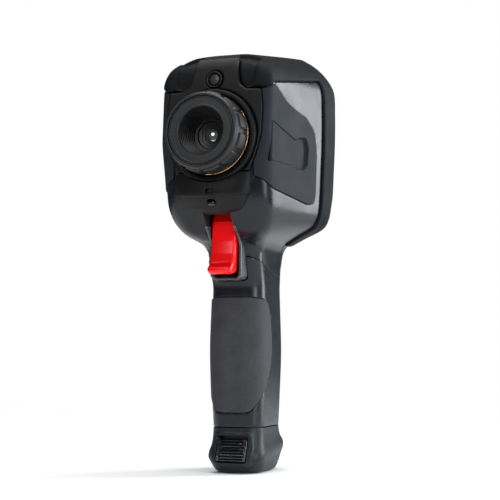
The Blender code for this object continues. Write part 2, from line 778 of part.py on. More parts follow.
def make_front_cover():
    region = prism("cover", cover_outline(), "Y", -90, COVER_BACK_Y)
    cover = overlay("front_cover", region, COVER_RISE, MATTE)
    cut(cover, hub(COLLAR_RADIUS + GAP, -30, 30), camera_hub(5.15 + GAP, -30, 30))
    return cover


def make_side_panels():
    made = []
    for side, name in ((1, "side_panel_left"), (-1, "side_panel_right")):
        span = sorted((side * (PANEL_FRONT_X + GAP), side * FAR))
        panel = overlay(name, prism("panel", grown(SIDE_PANEL, -GAP), "X", *span), PANEL_RISE, SOFT)
        cut(panel, prism("cover", cover_outline(GAP), "Y", -90, COVER_BACK_Y + GAP), hub(COLLAR_RADIUS + GAP, -30, 30))
        if side > 0:
            cut(panel, prism("door", door_outline(GAP), "X", 20, 90))
            cut(panel, prism("scoop", filleted(SCOOP, 3.0, 2), "X", 20, 90))
            cut(panel, knuckle("knuckle", KNUCKLE + GAP, GAP))
        made.append(panel)
    return made


def make_port():
    door = overlay("port_cover", prism("door", door_outline(), "X", 20, 90), PANEL_RISE, SOFT)
    line = [(DOOR_FRONT + TILT * 26, 240), (DOOR_FRONT - TILT * 34, 180)]
    behind = side_prism("behind", [(-90, 180), (-90, 240), *line])
    cut(door, behind)
    join(door, knuckle("knuckle", KNUCKLE))
    named(door, "port_cover", SOFT)
    tray = prism("tray", grown(door_outline(), -1.0), "X", 24.0, 80)
    keep(tray, skin(-WALL - GAP))
    cut(tray, prism("hollow", grown(door_outline(), -2.6), "X", 25.6, 80))
    cut(tray, knuckle("knuckle", KNUCKLE + 2 * GAP, 1.0))
    named(tray, "port_bay", PART_GREY)
    y, z = -33.2, 205.2
    sockets = block("port_sockets", (25.9, y - 7.4, z - 4.3), (27.4, y + 7.4, z + 4.3))
    for y0, half_y, half_z in ((y - 5.0, 1.8, 3.6), (y, 2.2, 4.0), (y + 5.0, 1.6, 4.0)):
        z0 = z
        shell = block("socket", (27.0, y0 - half_y, z0 - half_z), (32.0, y0 + half_y, z0 + half_z))
        low, high = (28.6, y0 - half_y + 0.6, z0 - half_z + 0.6), (40, y0 + half_y - 0.6, z0 + half_z - 0.6)
        cut(shell, block("mouth", low, high))
        join(sockets, shell)
    named(sockets, "port_sockets", STEEL)
    return door


# ---------------------------------------------------------------- lens
def make_lens():
    collar = turned(
        "lens_collar",
        [(COLLAR_RADIUS - 2.6, 3.0), (COLLAR_RADIUS - 0.5, 2.9), (COLLAR_RADIUS, 2.0), (COLLAR_RADIUS, -2.9),
         (MOUNT_RADIUS + 0.4, -2.9), (MOUNT_RADIUS + 0.4, 0.0)],
        MATTE,
    )
    place(collar, LENS)
    tube_outer = MOUNT_RADIUS - 7.0
    tube_inner = tube_outer - 1.4
    mount = turned(
        "lens_mount",
        [(tube_inner, 14.0), (tube_outer, 14.0), (tube_outer, 1.2), (MOUNT_RADIUS, 1.2), (MOUNT_RADIUS, -7.5),
         (tube_outer + 1.4, -7.5), (tube_outer + 1.4, -20.0), (tube_inner, -20.0)],
        BLACK,
    )
    place(mount, LENS)
    ring = turned(
        "gold_ring",
        [(tube_outer + 0.4, 2.8), (MOUNT_RADIUS + 0.2, 2.8), (MOUNT_RADIUS + 0.5, 2.5), (MOUNT_RADIUS + 0.5, 1.6),
         (tube_outer + 0.4, 1.6)],
        GOLD,
    )
    place(ring, LENS)
    low = 3.2
    high = low + FOCUS_LENGTH
    focus = turned(
        "focus_ring",
        [(BARREL_RADIUS - 0.2, high), (FOCUS_RADIUS - 2.0, high), (FOCUS_RADIUS - 1.1, high - 0.9),
         (FOCUS_RADIUS - 1.1, high - 3.4), (FOCUS_RADIUS - 0.7, high - 4.0), (FOCUS_RADIUS - 0.7, low),
         (tube_outer + RUN_CLEARANCE, low), (tube_outer + RUN_CLEARANCE, 15.2), (BARREL_RADIUS - 0.2, 15.2)],
        BLACK,
    )
    for k in range(12):
        turn = Matrix.Rotation(2 * math.pi * k / 12, 4, "Z")
        groove = block("groove", (-0.9, FOCUS_RADIUS - 1.3, low + 1.0), (0.9, FOCUS_RADIUS + 2, high - 4.6))
        groove.data.transform(turn)
        cut(focus, groove)
    named(place(focus, LENS), "focus_ring", BLACK)
    front = high - 0.9
    bore = [(BORE_RADIUS, front)]
    stages = 5
    for k in range(stages):
        share = (k + 1) / stages
        r = BORE_RADIUS - 0.9 + (BORE_END_RADIUS - BORE_RADIUS + 0.9) * share
        h = front - 1.0 - (BORE_DEPTH - 1.0) * share
        bore += [(r + (0.5 if k < stages - 1 else 0), h + (BORE_DEPTH - 1.0) / stages), (r, h)]
    cell = turned(
        "lens_cell",
        [*reversed(bore), (BARREL_RADIUS - 0.6, front), (BARREL_RADIUS - 0.6, front - 1.6),
         (tube_inner - 0.4, front - 1.6), (tube_inner - 0.4, -8.0), (LENS_RADIUS - 0.6, -8.0), (LENS_RADIUS - 0.6, -1.5),
         (LENS_RADIUS + GAP, -1.5), (LENS_RADIUS + GAP, front - BORE_DEPTH)],
        BLACK,
    )
    cut(cell, rod("seat", tube_inner - 3.0, -12.0, -4.0, steps=SMALL_STEPS))
    named(place(cell, LENS), "lens_cell", BLACK)
    lens_front = rod("front_element", LENS_RADIUS, -1.2, 2.2, steps=SMALL_STEPS)
    named(place(lens_front, LENS), "front_element", GERMANIUM)
    lens_back = rod("rear_element", tube_inner - 3.3, -7.4, -4.3, steps=SMALL_STEPS)
    named(place(lens_back, LENS), "rear_element", GERMANIUM)


def make_detector():
    blade = block("shutter_blade", (-7.5, -7.0, -22.0), (7.5, 7.0, -21.2))
    arm = block("arm", (5.0, -3.0, -22.0), (18.0, 3.0, -21.2))
    join(blade, arm)
    cut(blade, shifted(rod("pivot", 1.3, -30, -10, steps=12), 16.0, 0, 0))
    named(place(blade, LENS), "shutter_blade", PART_GREY)
    motor = rod("shutter_motor", 5.0, -34.0, -22.4, steps=SMALL_STEPS)
    join(motor, rod("shaft", 1.0, -23.0, -20.4, steps=12))
    named(place(shifted(motor, 16.0, 0, 0), LENS), "shutter_motor", STEEL)
    module = block("detector_module", (-10.0, -12.0, -36.0), (10.0, 12.0, -26.0))
    join(module, block("nose", (-8.0, -8.0, -27.0), (8.0, 8.0, -23.6)))
    cut(module, block("aperture", (-4.5, -4.0, -24.6), (4.5, 4.0, -20.0)))
    join(module, block("board", (-15.0, -17.0, -38.4), (15.0, 17.0, -35.8)))
    named(place(module, LENS), "detector_module", PART_GREY)


def shifted(obj, x, y, z):
    obj.data.transform(Matrix.Translation(Vector((x, y, z)) * MM))
    return obj


def make_small_camera():
    bezel = turned("camera_bezel", [(3.9, 0.5), (4.9, 0.5), (5.15, 0.2), (5.15, -3.2), (3.9, -3.2)], GLOSS, SMALL_STEPS)
    place(bezel, CAMERA)
    window = rod("camera_window", 3.6, -1.6, -0.4, steps=SMALL_STEPS)
    named(place(window, CAMERA), "camera_window", GLASS)
    module = block("module", (-6, -6, -14.5), (6, 6, -9.0))
    join(module, rod("barrel", 3.2, -9.5, -2.2, steps=SMALL_STEPS))
    named(place(module, CAMERA), "camera_module", PART_GREY)


# ---------------------------------------------------------------- chin, with the laser and the lamp
CHIN_LOW = 164.2
CHIN_HIGH = 190.6
CHIN_HALF = 26.2
LASER_Z = 179.0
LAMP_Z = 171.6


def chin_section(z, shrink=0.0):
    """A bowed outline: half its width, how far it reaches, then the points."""
    rows = [(0.0, 0.44, -48.6), (0.06, 0.6, -52.8), (0.22, 0.8, -57.6), (0.38, 0.91, -61.4), (0.53, 0.97, -63.0),
            (0.82, 1.0, -62.2), (1.0, 0.985, -60.6)]
    share = (z - CHIN_LOW) / (CHIN_HIGH - CHIN_LOW)
    shares = [r[0] for r in rows]
    half = CHIN_HALF * monotone(shares, [r[1] for r in rows], share) - shrink
    front = monotone(shares, [r[2] for r in rows], share) + shrink
    side = max(front + 4.0, -51.5)
    points = [(half, -38.0)]
    for k in range(13):
        a = math.pi * k / 12
        c, s = math.cos(a), math.sin(a)
        x = half * math.copysign(abs(c) ** 0.8, c)
        points.append((x, side + (front - side) * abs(s) ** 0.8))
    return [(x, y, z) for x, y in [*points, (-half, -38.0)]]


LAMP_HALF_WIDTH = 2.5


def lamp_outline(half_width):
    half_height = half_width - 1.2
    low, high = (-half_width, -half_height), (half_width, half_height)
    corners = [low, (half_width, -half_height), high, (-half_width, half_height)]
    return [(x, LAMP_Z + z) for x, z in filleted(corners, half_height)]


def make_chin():
    shares = (0.0, 0.03, 0.08, 0.2, 0.36, 0.5, 0.75, 1.0)
    tall = CHIN_HIGH - CHIN_LOW
    chin = loft("chin_cover", [chin_section(CHIN_LOW + tall * s) for s in shares])
    inner_shares = (0.0, 0.1, 0.2, 0.36, 0.5, 0.75, 1.0)
    hollow = loft("hollow", [chin_section(CHIN_LOW + 2.0 + (tall - 4.0) * s, 2.0) for s in inner_shares])
    cut(hollow, hub(COLLAR_RADIUS + GAP + 2.0, -30, 30))
    cut(chin, hub(COLLAR_RADIUS + GAP, -30, 30), hollow, skin(GAP))
    w = 2.35
    cut(chin, block("laser_hole", (-w, -80, LASER_Z - 1.6), (w, -55, LASER_Z + 1.6)))
    cut(chin, prism("lamp_hole", lamp_outline(LAMP_HALF_WIDTH + GAP), "Y", -80, -53))
    named(chin, "chin_cover", MATTE)
    laser = rod("laser_module", 2.0, 54.9, 60.4, steps=SMALL_STEPS)
    place(laser, Matrix.Translation((0, 0, LASER_Z)) @ Matrix.Rotation(math.radians(90), 4, "X"))
    named(laser, "laser_module", BLACK)
    lamp = prism("lamp", lamp_outline(LAMP_HALF_WIDTH), "Y", -57.8, -53.4)
    named(lamp, "lamp_lens", GLASS)
    return chin


# ---------------------------------------------------------------- trigger
def make_trigger():
    y, z, r = TRIGGER_PIN_Y, TRIGGER_PIN_Z, TRIGGER_PIN_RADIUS
    face = TRIGGER_FRONT
    outline = [
        (y - 3.6, TRIGGER_TOP), (face + 2.6, TRIGGER_TOP - 0.3), (face - 0.3, TRIGGER_TOP - 5.4), (face - 0.6, z - 11),
        (face - 2.0, z - 19), (face - 4.6, TRIGGER_BOTTOM + 7.4), (face - 8.2, TRIGGER_BOTTOM + 4.4),
        (face - 8.6, TRIGGER_BOTTOM + 2.2), (face - 5.4, TRIGGER_BOTTOM),
        (y - 4.6, TRIGGER_BOTTOM + 1.2), (y - 2.6, z - 22), (y - 1.5, z - 14), (y - 0.6, z - 6), (y + 3.2, z - 2.2),
        (y + 3.6, z + 1.5), (y + 1.6, z + 3.6),
    ]
    w = TRIGGER_HALF_WIDTH
    blade = prism("trigger", outline, "X", -w, w)
    bevel = blade.modifiers.new("Bevel", "BEVEL")
    bevel.width = 0.9 * MM
    bevel.segments = 2
    bevel.limit_method = "ANGLE"
    bevel.angle_limit = math.radians(50)
    settle(blade)
    across = Matrix.Translation((0, y, z)) @ Matrix.Rotation(math.radians(90), 4, "Y")
    cut(blade, place(rod("hole", r + GAP, -20, 20, steps=12), across))
    named(blade, "trigger", RED)
    inner = w + TRIGGER_CLEARANCE
    outer = inner + BEZEL_WALL
    low = TRIGGER_BOTTOM - RIM_DROP
    rim = filleted([(-outer, low), (outer, low), (outer, z + 4.0), (-outer, z + 4.0)], [3.6, 3.6, 0, 0])
    side = [(-24.5, low - 1), (RIM_FRONT + 1.4, low - 1), (RIM_FRONT, low + 2.5), (RIM_FRONT + 0.2, z - 14),
            (RIM_FRONT - 1.4, z - 10), (RIM_FRONT - 9.0, z - 2), (RIM_FRONT - 9.0, z + 5), (-24.5, z + 5)]
    bezel = keep(prism("rim", rim, "Y", -70, -24.5), prism("side", side, "X", -40, 40))
    throat_low = low + BEZEL_WALL
    throat = filleted([(-inner, throat_low), (inner, throat_low), (inner, z + 30), (-inner, z + 30)], [2.6, 2.6, 0, 0])
    cut(bezel, prism("throat", throat, "Y", -80, 0))
    cut(bezel, place(rod("hole", r + GAP, -20, 20, steps=12), across))
    named(bezel, "trigger_bezel", GLOSS)
    named(place(rod("trigger_pin", r, -outer - 1.2, outer + 1.2, steps=12), across), "trigger_pin", STEEL)
    switch = block("switch", (-5.0, -22.0, 141.0), (5.0, -14.0, 153.0))
    join(switch, block("plunger", (-1.5, -24.0, 145.0), (1.5, -21.0, 148.0)))
    named(switch, "trigger_switch", BLACK)


# ---------------------------------------------------------------- display and keys
GLASS_MIDDLE = 9.5


def display_cutters():
    w, h, m = GLASS_WIDTH / 2, GLASS_HEIGHT / 2, GLASS_MIDDLE
    corners = [(-w - GAP, m - h - GAP), (w + GAP, m - h - GAP), (w + GAP, m + h + GAP), (-w - GAP, m + h + GAP)]
    seat = prism("seat", filleted(corners, 3.0), "Z", -1.3, 6)
    hole = block("hole", (-w + 3, m - h + 3, -8), (w - 3, m + h - 3, 6))
    return seat, hole


def key_shapes():
    """Each key: its centre on the back face, its outline and the name it has."""
    ring = {"up": (0, 8.6), "down": (0, -8.6), "key_left": (-8.6, 0), "key_right": (8.6, 0)}
    low = -32.0
    shapes = {}
    for name, (x, y) in ring.items():
        half_x, half_y = (4.4, 2.3) if x == 0 else (2.3, 4.4)
        shapes[name] = ((x, y + low), half_x, half_y, 1.6)
    shapes["key_ok"] = ((0, low), 4.2, 4.2, 4.0)
    shapes["key_back"] = ((24.0, low + 5.5), 6.0, 3.4, 2.4)
    shapes["key_gallery"] = ((-24.0, low + 5.5), 6.0, 3.4, 2.4)
    shapes["key_power"] = ((24.0, low - 5.5), 6.0, 3.4, 2.4)
    return {("key_" + n if not n.startswith("key_") else n): v for n, v in shapes.items()}


def key_outline(shape, by=0.0):
    (x, y), hx, hy, r = shape
    hx, hy = hx + by, hy + by
    return filleted([(x - hx, y - hy), (x + hx, y - hy), (x + hx, y + hy), (x - hx, y + hy)], r + by, 2)


def key_cutters():
    return [prism("key_hole", key_outline(shape, 0.4), "Z", -8, 6) for shape in key_shapes().values()]


def make_keys():
    for name, shape in key_shapes().items():
        cap = prism(name, key_outline(shape), "Z", -4.8, 1.2)
        bevel = cap.modifiers.new("Bevel", "BEVEL")
        bevel.width = 0.35 * MM
        bevel.segments = 1
        bevel.limit_method = "ANGLE"
        bevel.angle_limit = math.radians(60)
        settle(cap)
        place(cap, BACK)
        named(cap, name, KEY_GREY)


def make_display():
    w, h, m = GLASS_WIDTH / 2, GLASS_HEIGHT / 2, GLASS_MIDDLE
    outline = filleted([(-w, m - h), (w, m - h), (w, m + h), (-w, m + h)], 2.7)
    glass = prism("glass", outline, "Z", -1.0, -1.0 + GLASS_THICK)
    named(place(glass, BACK), "display_glass", GLASS)
    module = block("module", (-w + 1, m - h + 2.0, -8.0), (w - 1, m + h - 1, -2.9))
    named(place(module, BACK), "display_module", PART_GREY)
    board = block("board", (-36, -24, -11.0), (36, 36, -9.4))
    for x0, y0, size in ((-20, 8, 9), (10, 12, 7), (-4, -12, 6)):
        join(board, block("chip", (x0 - size, y0 - size, -12.6), (x0 + size, y0 + size, -10.9)))
    named(place(board, BACK), "main_board", BOARD)
    keys = block("key_board", (-20, -45, -8.0), (33, -21.5, -6.6))
    named(place(keys, BACK), "key_board", BOARD)
    speaker = rod("speaker", 5.6, -6.0, -3.0, steps=SMALL_STEPS)
    named(place(shifted(speaker, -27.0, -37.5, 0), BACK), "speaker", BLACK)


# ---------------------------------------------------------------- grip, battery and foot
def make_grip_pad():
    return overlay("handle_grip", side_prism("pad", grown(grip_pad_outline(), -GAP)), PANEL_RISE, RUBBER)


PACK_FRONT = -16.5
PACK_BACK = 20.0
PACK_HALF = 11.6
PACK_TOP = NECK_Z - 4.0
FOOT_FLOOR = 9.0


def foot_ring(share, z):
    """Foot sections: share is 0 at the sole and 1 at the parting line."""
    rows = [(0.0, -4.0, 3.2), (0.04, -2.0, 1.5), (0.14, -0.4, -0.2), (0.3, 0.9, -2.2), (0.46, 2.1, -3.9), (0.56, 1.8, -3.6),
            (0.68, 0.7, -2.2), (0.84, 0.1, -1.0), (1.0, -0.1, -0.6)]
    shares = [r[0] for r in rows]
    grow = monotone(shares, [r[1] for r in rows], share)
    reach = monotone(shares, [-r[2] for r in rows], share)
    base = SECTIONS[0]
    s = Section(z, base.front_half + grow, base.back_half + grow, base.y_front - reach, base.y_back + reach, 12.5, 12.5)
    tilt = 0.15 * math.sin(math.pi * min(max(share, 0), 1))
    return [(x, y, z + tilt * y) for x, y in full_outline(s, 3, 1)]


def make_foot():
    shares = (0.0, 0.04, 0.14, 0.3, 0.42, 0.5, 0.58, 0.7, 0.84, 1.0)
    top = FOOT_TOP - GAP / 2
    foot = loft("foot_cap", [foot_ring(s, top * s) for s in shares])
    well = filleted([(-PACK_HALF - GAP, PACK_FRONT - GAP), (PACK_HALF + GAP, PACK_FRONT - GAP),
                     (PACK_HALF + GAP, PACK_BACK + GAP), (-PACK_HALF - GAP, PACK_BACK + GAP)], 8.0)
    cut(foot, prism("well", well, "Z", FOOT_FLOOR - GAP, 60))
    w = LATCH_HALF_WIDTH + 0.4
    low, high = 7.2, 7.2 + LATCH_HEIGHT + LATCH_TRAVEL + 1.0
    cut(foot, block("latch_pocket", (-w, -60, low), (w, PACK_FRONT - GAP - 2.2, high)))
    named(foot, "foot_cap", LATCH_BLACK)
    corners = [(-PACK_HALF, PACK_FRONT), (PACK_HALF, PACK_FRONT), (PACK_HALF, PACK_BACK), (-PACK_HALF, PACK_BACK)]
    well_in = filleted(corners, 7.7)
    pack = prism("battery_pack", well_in, "Z", FOOT_FLOOR, PACK_TOP)
    named(pack, "battery_pack", CELL_BLUE)
    button = loft("latch", [foot_ring(s, top * s) for s in (0.2, 0.3, 0.42, 0.5, 0.58, 0.7, 0.84)])
    b_low = low + 0.5
    top_z = b_low + LATCH_HEIGHT
    keep(button, block("face", (-LATCH_HALF_WIDTH, -60, b_low), (LATCH_HALF_WIDTH, PACK_FRONT - 3.0, top_z)))
    pitch = LATCH_HEIGHT / LATCH_RIBS
    for k in range(LATCH_RIBS):
        z0 = b_low + pitch * (k + 0.55)
        bottom_y = -25.6 - 1.2 * math.sin(math.pi * (k + 1) / LATCH_RIBS)
        half = LATCH_HALF_WIDTH - 1.2
        groove = block("groove", (-half, -60, z0), (half, bottom_y, z0 + pitch * 0.45))
        cut(button, groove)
    named(button, "latch_button", LATCH_BLACK)
    contacts = block("contacts", (-9, -12, PACK_TOP + 0.6), (9, 12, PACK_TOP + 3.2))
    for x0 in (-6, -2, 2, 6):
        join(contacts, block("blade", (x0 - 0.5, -3, PACK_TOP + 3.0), (x0 + 0.5, 3, PACK_TOP + 6.0)))
    named(contacts, "battery_contacts", STEEL)


# ---------------------------------------------------------------- assembly
make_front_shells()
make_rear_shell()
make_bumper()
make_front_cover()
make_side_panels()
make_port()
make_lens()
make_detector()
make_small_camera()
make_chin()
make_trigger()
make_keys()
make_display()
make_grip_pad()
make_foot()
make_screws()


def set_origin(obj, point):
    """Puts the object's origin on a point given in millimetres, and leaves its shape where it is."""
    shift = Vector(point) * MM
    obj.data.transform(Matrix.Translation(-shift))
    obj.location = shift


PART = bpy.data.objects
set_origin(PART["focus_ring"], LENS.translation)
for lens_piece in ("lens_cell", "front_element", "rear_element"):
    set_origin(PART[lens_piece], LENS.translation)
set_origin(PART["shutter_blade"], LENS @ Vector((16.0, 0, -21.6)))
set_origin(PART["trigger"], (0, TRIGGER_PIN_Y, TRIGGER_PIN_Z))
set_origin(PART["port_cover"], (DOOR_AXIS_X, DOOR_FRONT, LENS_Z))
for key_name, key_shape in key_shapes().items():
    set_origin(PART[key_name], BACK @ Vector((*key_shape[0], 0)))

for part in COLLECTION.objects:
    part.data.shade_smooth()
    part.data.set_sharp_from_angle(angle=math.radians(35))
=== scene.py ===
"""The pistol-grip thermal imaging camera's visible surfaces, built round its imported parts. Lengths are in
millimetres until a mesh is made. The origin is under the foot, -Y is the way the lens looks, +X is the user's
left."""

import math

import bmesh
import bpy
import numpy as np
from mathutils import Matrix, Vector


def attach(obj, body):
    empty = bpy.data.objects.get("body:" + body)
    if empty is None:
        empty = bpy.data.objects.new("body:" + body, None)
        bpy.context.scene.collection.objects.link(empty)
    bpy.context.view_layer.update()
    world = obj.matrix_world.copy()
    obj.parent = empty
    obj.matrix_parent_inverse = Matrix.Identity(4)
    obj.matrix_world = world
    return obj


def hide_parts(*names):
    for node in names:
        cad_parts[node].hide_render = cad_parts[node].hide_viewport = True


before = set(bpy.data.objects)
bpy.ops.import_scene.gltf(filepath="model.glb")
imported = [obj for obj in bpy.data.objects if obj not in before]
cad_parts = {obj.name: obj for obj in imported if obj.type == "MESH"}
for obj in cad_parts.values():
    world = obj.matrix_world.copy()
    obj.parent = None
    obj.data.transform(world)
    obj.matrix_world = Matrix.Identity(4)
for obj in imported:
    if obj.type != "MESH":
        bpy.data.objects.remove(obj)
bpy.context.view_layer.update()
MM = 0.001

# --- the same driving sizes as the solid parts
FOOT_TOP = 29.5
NECK_Z = 119.0
HEAD_FLOOR = 147.0
HEAD_TOP = 272.0
GRIP_HALF_WIDTH = 18.7
GRIP_HALF_DEPTH = 25.7
HEAD_HALF_WIDTH = 55.4
FACE_HALF_WIDTH = 36.0
FACE_Y = -53.5
BACK_Y = 26.0
HEAD_TILT = 4.5
LENS_Z = 214.0
COVER_RISE = 2.5
BUMPER_RISE = 1.6
PANEL_RISE = 0.8
COLLAR_RADIUS = 29.6
MOUNT_RADIUS = 24.6
FOCUS_RADIUS = 25.4
FOCUS_LENGTH = 17.0
BARREL_RADIUS = 22.4
BORE_RADIUS = 15.6
BORE_END_RADIUS = 10.3
BORE_DEPTH = 16.0
FRONT_DROP = 7.5
ROOF_CROWN = 3.2
ROOF_SPAN = 20.0
SEAM = 0.17  # half of a parting line's width
FOOT_SEAM = 0.15  # half of the parting line above the foot
SHELL_UNDER = -1.9  # how far in the shells' inner faces lie
LENS_Y = -56.0  # the collar's seat on the lens's axis
LEAN = math.radians(HEAD_TILT)
SIN_LEAN, COS_LEAN, TILT = math.sin(LEAN), math.cos(LEAN), math.tan(LEAN)
X, Y, Z = 0, 1, 2


def leaning(y, z):
    return y + TILT * (z - LENS_Z)


def grip_z(share):
    return FOOT_TOP + share * (NECK_Z - FOOT_TOP)


def head_z(share):
    return HEAD_FLOOR + share * (HEAD_TOP - HEAD_FLOOR)


SLANT_FROM = head_z(0.7)


# --- the outer skin, as a function of (u, v)
def skin_table():
    """Rows of height, front and back half widths, front and back y, front and back corner radii."""
    g, d = GRIP_HALF_WIDTH, GRIP_HALF_DEPTH
    w, f = HEAD_HALF_WIDTH, FACE_HALF_WIDTH
    rows = [
        (grip_z(0.0), g - 1.4, g - 1.4, 2.3 - d, d - 1.2, 12, 12),
        (grip_z(0.2), g - 0.8, g - 0.8, 1.5 - d, d - 0.4, 12.5, 12.5),
        (grip_z(0.55), g, g, 0.8 - d, d + 1.0, 13, 13),
        (grip_z(0.85), g - 0.5, g - 0.5, 1.8 - d, d + 0.6, 13, 13),
        (NECK_Z, g - 0.7, g - 0.7, 2.6 - d, d + 0.2, 13, 13),
        (NECK_Z + 7, g - 0.6, g - 0.6, 1.0 - d, d + 0.6, 12.5, 13),
        (NECK_Z + 16, g - 0.1, g, -2.0 - d, d + 0.3, 12, 12),
        (HEAD_FLOOR, g + 1.6, g + 4.0, -6.0 - d, d, 12.5, 10),
    ]
    head = [
        (0.05, g + 8.5, g + 17, 18.0, 1.5, 10, 9),
        (0.1, g + 12.0, w - 5.5, 12.5, 0.5, 11, 8),
        (0.145, f - 3.6, w - 1.8, 8.0, 0, 11.5, 8),
        (0.195, f - 2.6, w - 0.7, 4.5, 0, 12, 8),
        (0.28, f - 2.2, w - 0.2, 1.4, 0, 13, 7),
        (0.4, f - 1.2, w, 0.2, 0, 10, 7),
        (0.54, f, w + 0.2, 0, 0, 6, 7),
        (0.7, f, w - 0.2, 0, 0, 6, 7),
        (0.82, f - 0.5, w - 1.4, 0, 0, 6, 7),
        (0.88, f - 2.0, w - 5.6, 0.4, -0.2, 7, 7),
        (0.93, f - 5.0, w - 11.0, 1.6, -0.8, 8, 7),
        (0.97, f - 11.0, w - 16.6, 4.0, -2.2, 8, 7),
        (1.0, f - 17.0, w - 22.0, 8.0, -4.5, 8, 7),
    ]
    for share, front, back, front_in, back_in, r_front, r_back in head:
        z = head_z(share)
        rows.append((z, front, back, leaning(FACE_Y, z) + front_in, leaning(BACK_Y, z) + back_in, r_front,
                     r_back))
    return np.array(rows, float)


TABLE = skin_table()


def hermite(xs, ys, x):
    """A smooth curve through the points that never overshoots them."""
    slopes = np.diff(ys) / np.diff(xs)
    tangents = np.concatenate([[slopes[0]],
                               np.where(slopes[:-1] * slopes[1:] > 0, (slopes[:-1] + slopes[1:]) / 2, 0),
                               [slopes[-1]]])
    i = np.clip(np.searchsorted(xs, x, side="right") - 1, 0, len(xs) - 2)
    step = xs[i + 1] - xs[i]
    limit = 3 * np.abs(slopes[i])
    m0 = np.sign(slopes[i]) * np.minimum(np.abs(tangents[i]), limit)
    m1 = np.sign(slopes[i]) * np.minimum(np.abs(tangents[i + 1]), limit)
    t = (x - xs[i]) / step
    return (
        ys[i] * (2 * t**3 - 3 * t**2 + 1)
        + ys[i + 1] * (3 * t**2 - 2 * t**3)
        + m0 * step * (t**3 - 2 * t**2 + t)
        + m1 * step * (t**3 - t**2)
    )


KNOTS = (0.16, 0.36, 0.64, 0.82)  # where u passes from front to corner, side, corner and back


def section_ring(f, b, y0, y1, rf, rb, u):
    """x and y of a rounded trapezoid; u runs from the front's middle (0) to the back's middle (1 or -1)."""
    lean = np.arctan2(b - f, y1 - y0)
    fx = f - rf * (1 - np.sin(lean)) / np.cos(lean)
    bx = b - rb * (1 + np.sin(lean)) / np.cos(lean)
    a = np.abs(u)
    k0, k1, k2, k3 = KNOTS
    t1 = np.clip((a - k0) / (k1 - k0), 0, 1)
    t2 = np.clip((a - k1) / (k2 - k1), 0, 1)
    t3 = np.clip((a - k2) / (k3 - k2), 0, 1)
    angle1 = -np.pi / 2 + (np.pi / 2 - lean) * t1
    arc1 = (fx + rf * np.cos(angle1), y0 + rf + rf * np.sin(angle1))
    angle3 = -lean + (np.pi / 2 + lean) * t3
    arc3 = (bx + rb * np.cos(angle3), y1 - rb + rb * np.sin(angle3))
    end1 = (fx + rf * np.cos(-lean), y0 + rf + rf * np.sin(-lean))
    start3 = (bx + rb * np.cos(-lean), y1 - rb + rb * np.sin(-lean))
    side = (end1[0] + (start3[0] - end1[0]) * t2, end1[1] + (start3[1] - end1[1]) * t2)
    x = np.select([a < k0, a < k1, a < k2, a < k3], [fx * a / k0, arc1[0], side[0], arc3[0]],
                  bx * (1 - a) / (1 - k3))
    y = np.select([a < k0, a < k1, a < k2, a < k3], [y0 + 0 * a, arc1[1], side[1], arc3[1]], y1)
    return np.sign(u) * x, y


ROOF_MIDDLE = (TABLE[-1, 3] + TABLE[-1, 4]) / 2


def skin(uv):
    """Points of the housing's skin. v is the height, and past HEAD_TOP it runs in over the roof."""
    u, v = uv[:, 0], uv[:, 1]
    z = np.minimum(v, HEAD_TOP)
    x, y = section_ring(*[hermite(TABLE[:, 0], TABLE[:, k], z) for k in range(1, 7)], u)
    scale = 1 - np.clip((v - HEAD_TOP) / ROOF_SPAN, 0, 1)
    x = x * scale
    y = np.where(v > HEAD_TOP, ROOF_MIDDLE + (y - ROOF_MIDDLE) * scale, y)
    z = z + ROOF_CROWN * (1 - scale**2)
    share = np.clip((z - SLANT_FROM) / (HEAD_TOP - SLANT_FROM), 0, 1)
    back, front = leaning(BACK_Y, z), leaning(FACE_Y, z)
    z = z - FRONT_DROP * share**2 * (back - y) / (back - front)
    return np.stack([x, y, z], axis=1)


def normals_of(surface, uv):
    du, dv = np.array([0.003, 0]), np.array([0, 0.25])
    a = surface(uv + du) - surface(uv - du)
    b = surface(uv + dv) - surface(uv - dv)
    n = np.cross(a, b)
    length = np.linalg.norm(n, axis=1)
    n[length < 1e-7] = (0, 0, 1)
    return n / np.maximum(np.linalg.norm(n, axis=1), 1e-9)[:, None]


# --- outlines as signed distances
def filleted(points, radius, steps=6):
    count = len(points)
    radii = radius if hasattr(radius, "__len__") else [radius] * count
    made = []
    for i, corner in enumerate(points):
        here = Vector(corner)
        before = Vector(points[i - 1]) - here
        after = Vector(points[(i + 1) % count]) - here
        if radii[i] <= 0:
            made.append(tuple(here))
            continue
        half = before.angle(after) / 2
        reach = min(radii[i] / math.tan(half), before.length * 0.49, after.length * 0.49)
        start, end = here + before.normalized() * reach, here + after.normalized() * reach
        for k in range(steps + 1):
            t = k / steps
            made.append(tuple(start * (1 - t) ** 2 + here * (2 * t * (1 - t)) + end * t**2))
    return made


def polygon(points):
    """A function of 2-D points: their distance to the outline, negative inside."""
    a = np.array(points, float)
    b = np.roll(a, -1, axis=0)

    def field(p):
        best = np.full(len(p), 1e9)
        inside = np.zeros(len(p), bool)
        for (ax, ay), (bx, by) in zip(a, b):
            ex, ey = bx - ax, by - ay
            wx, wy = p[:, 0] - ax, p[:, 1] - ay
            t = np.clip((wx * ex + wy * ey) / max(ex * ex + ey * ey, 1e-12), 0, 1)
            best = np.minimum(best, np.hypot(wx - t * ex, wy - t * ey))
            crosses = (ay > p[:, 1]) != (by > p[:, 1])
            with np.errstate(divide="ignore", invalid="ignore"):
                inside ^= crosses & (p[:, 0] < ex * (p[:, 1] - ay) / (by - ay) + ax)
        return np.where(inside, -best, best)

    return field


def side_view(points):
    field = polygon(points)
    return lambda p: field(p[:, 1:3])


def front_view(points):
    field = polygon(points)
    return lambda p: field(p[:, [0, 2]])


def either(*fields):
    return lambda p: np.minimum.reduce([f(p) for f in fields])


def both(*fields):
    return lambda p: np.maximum.reduce([f(p) for f in fields])


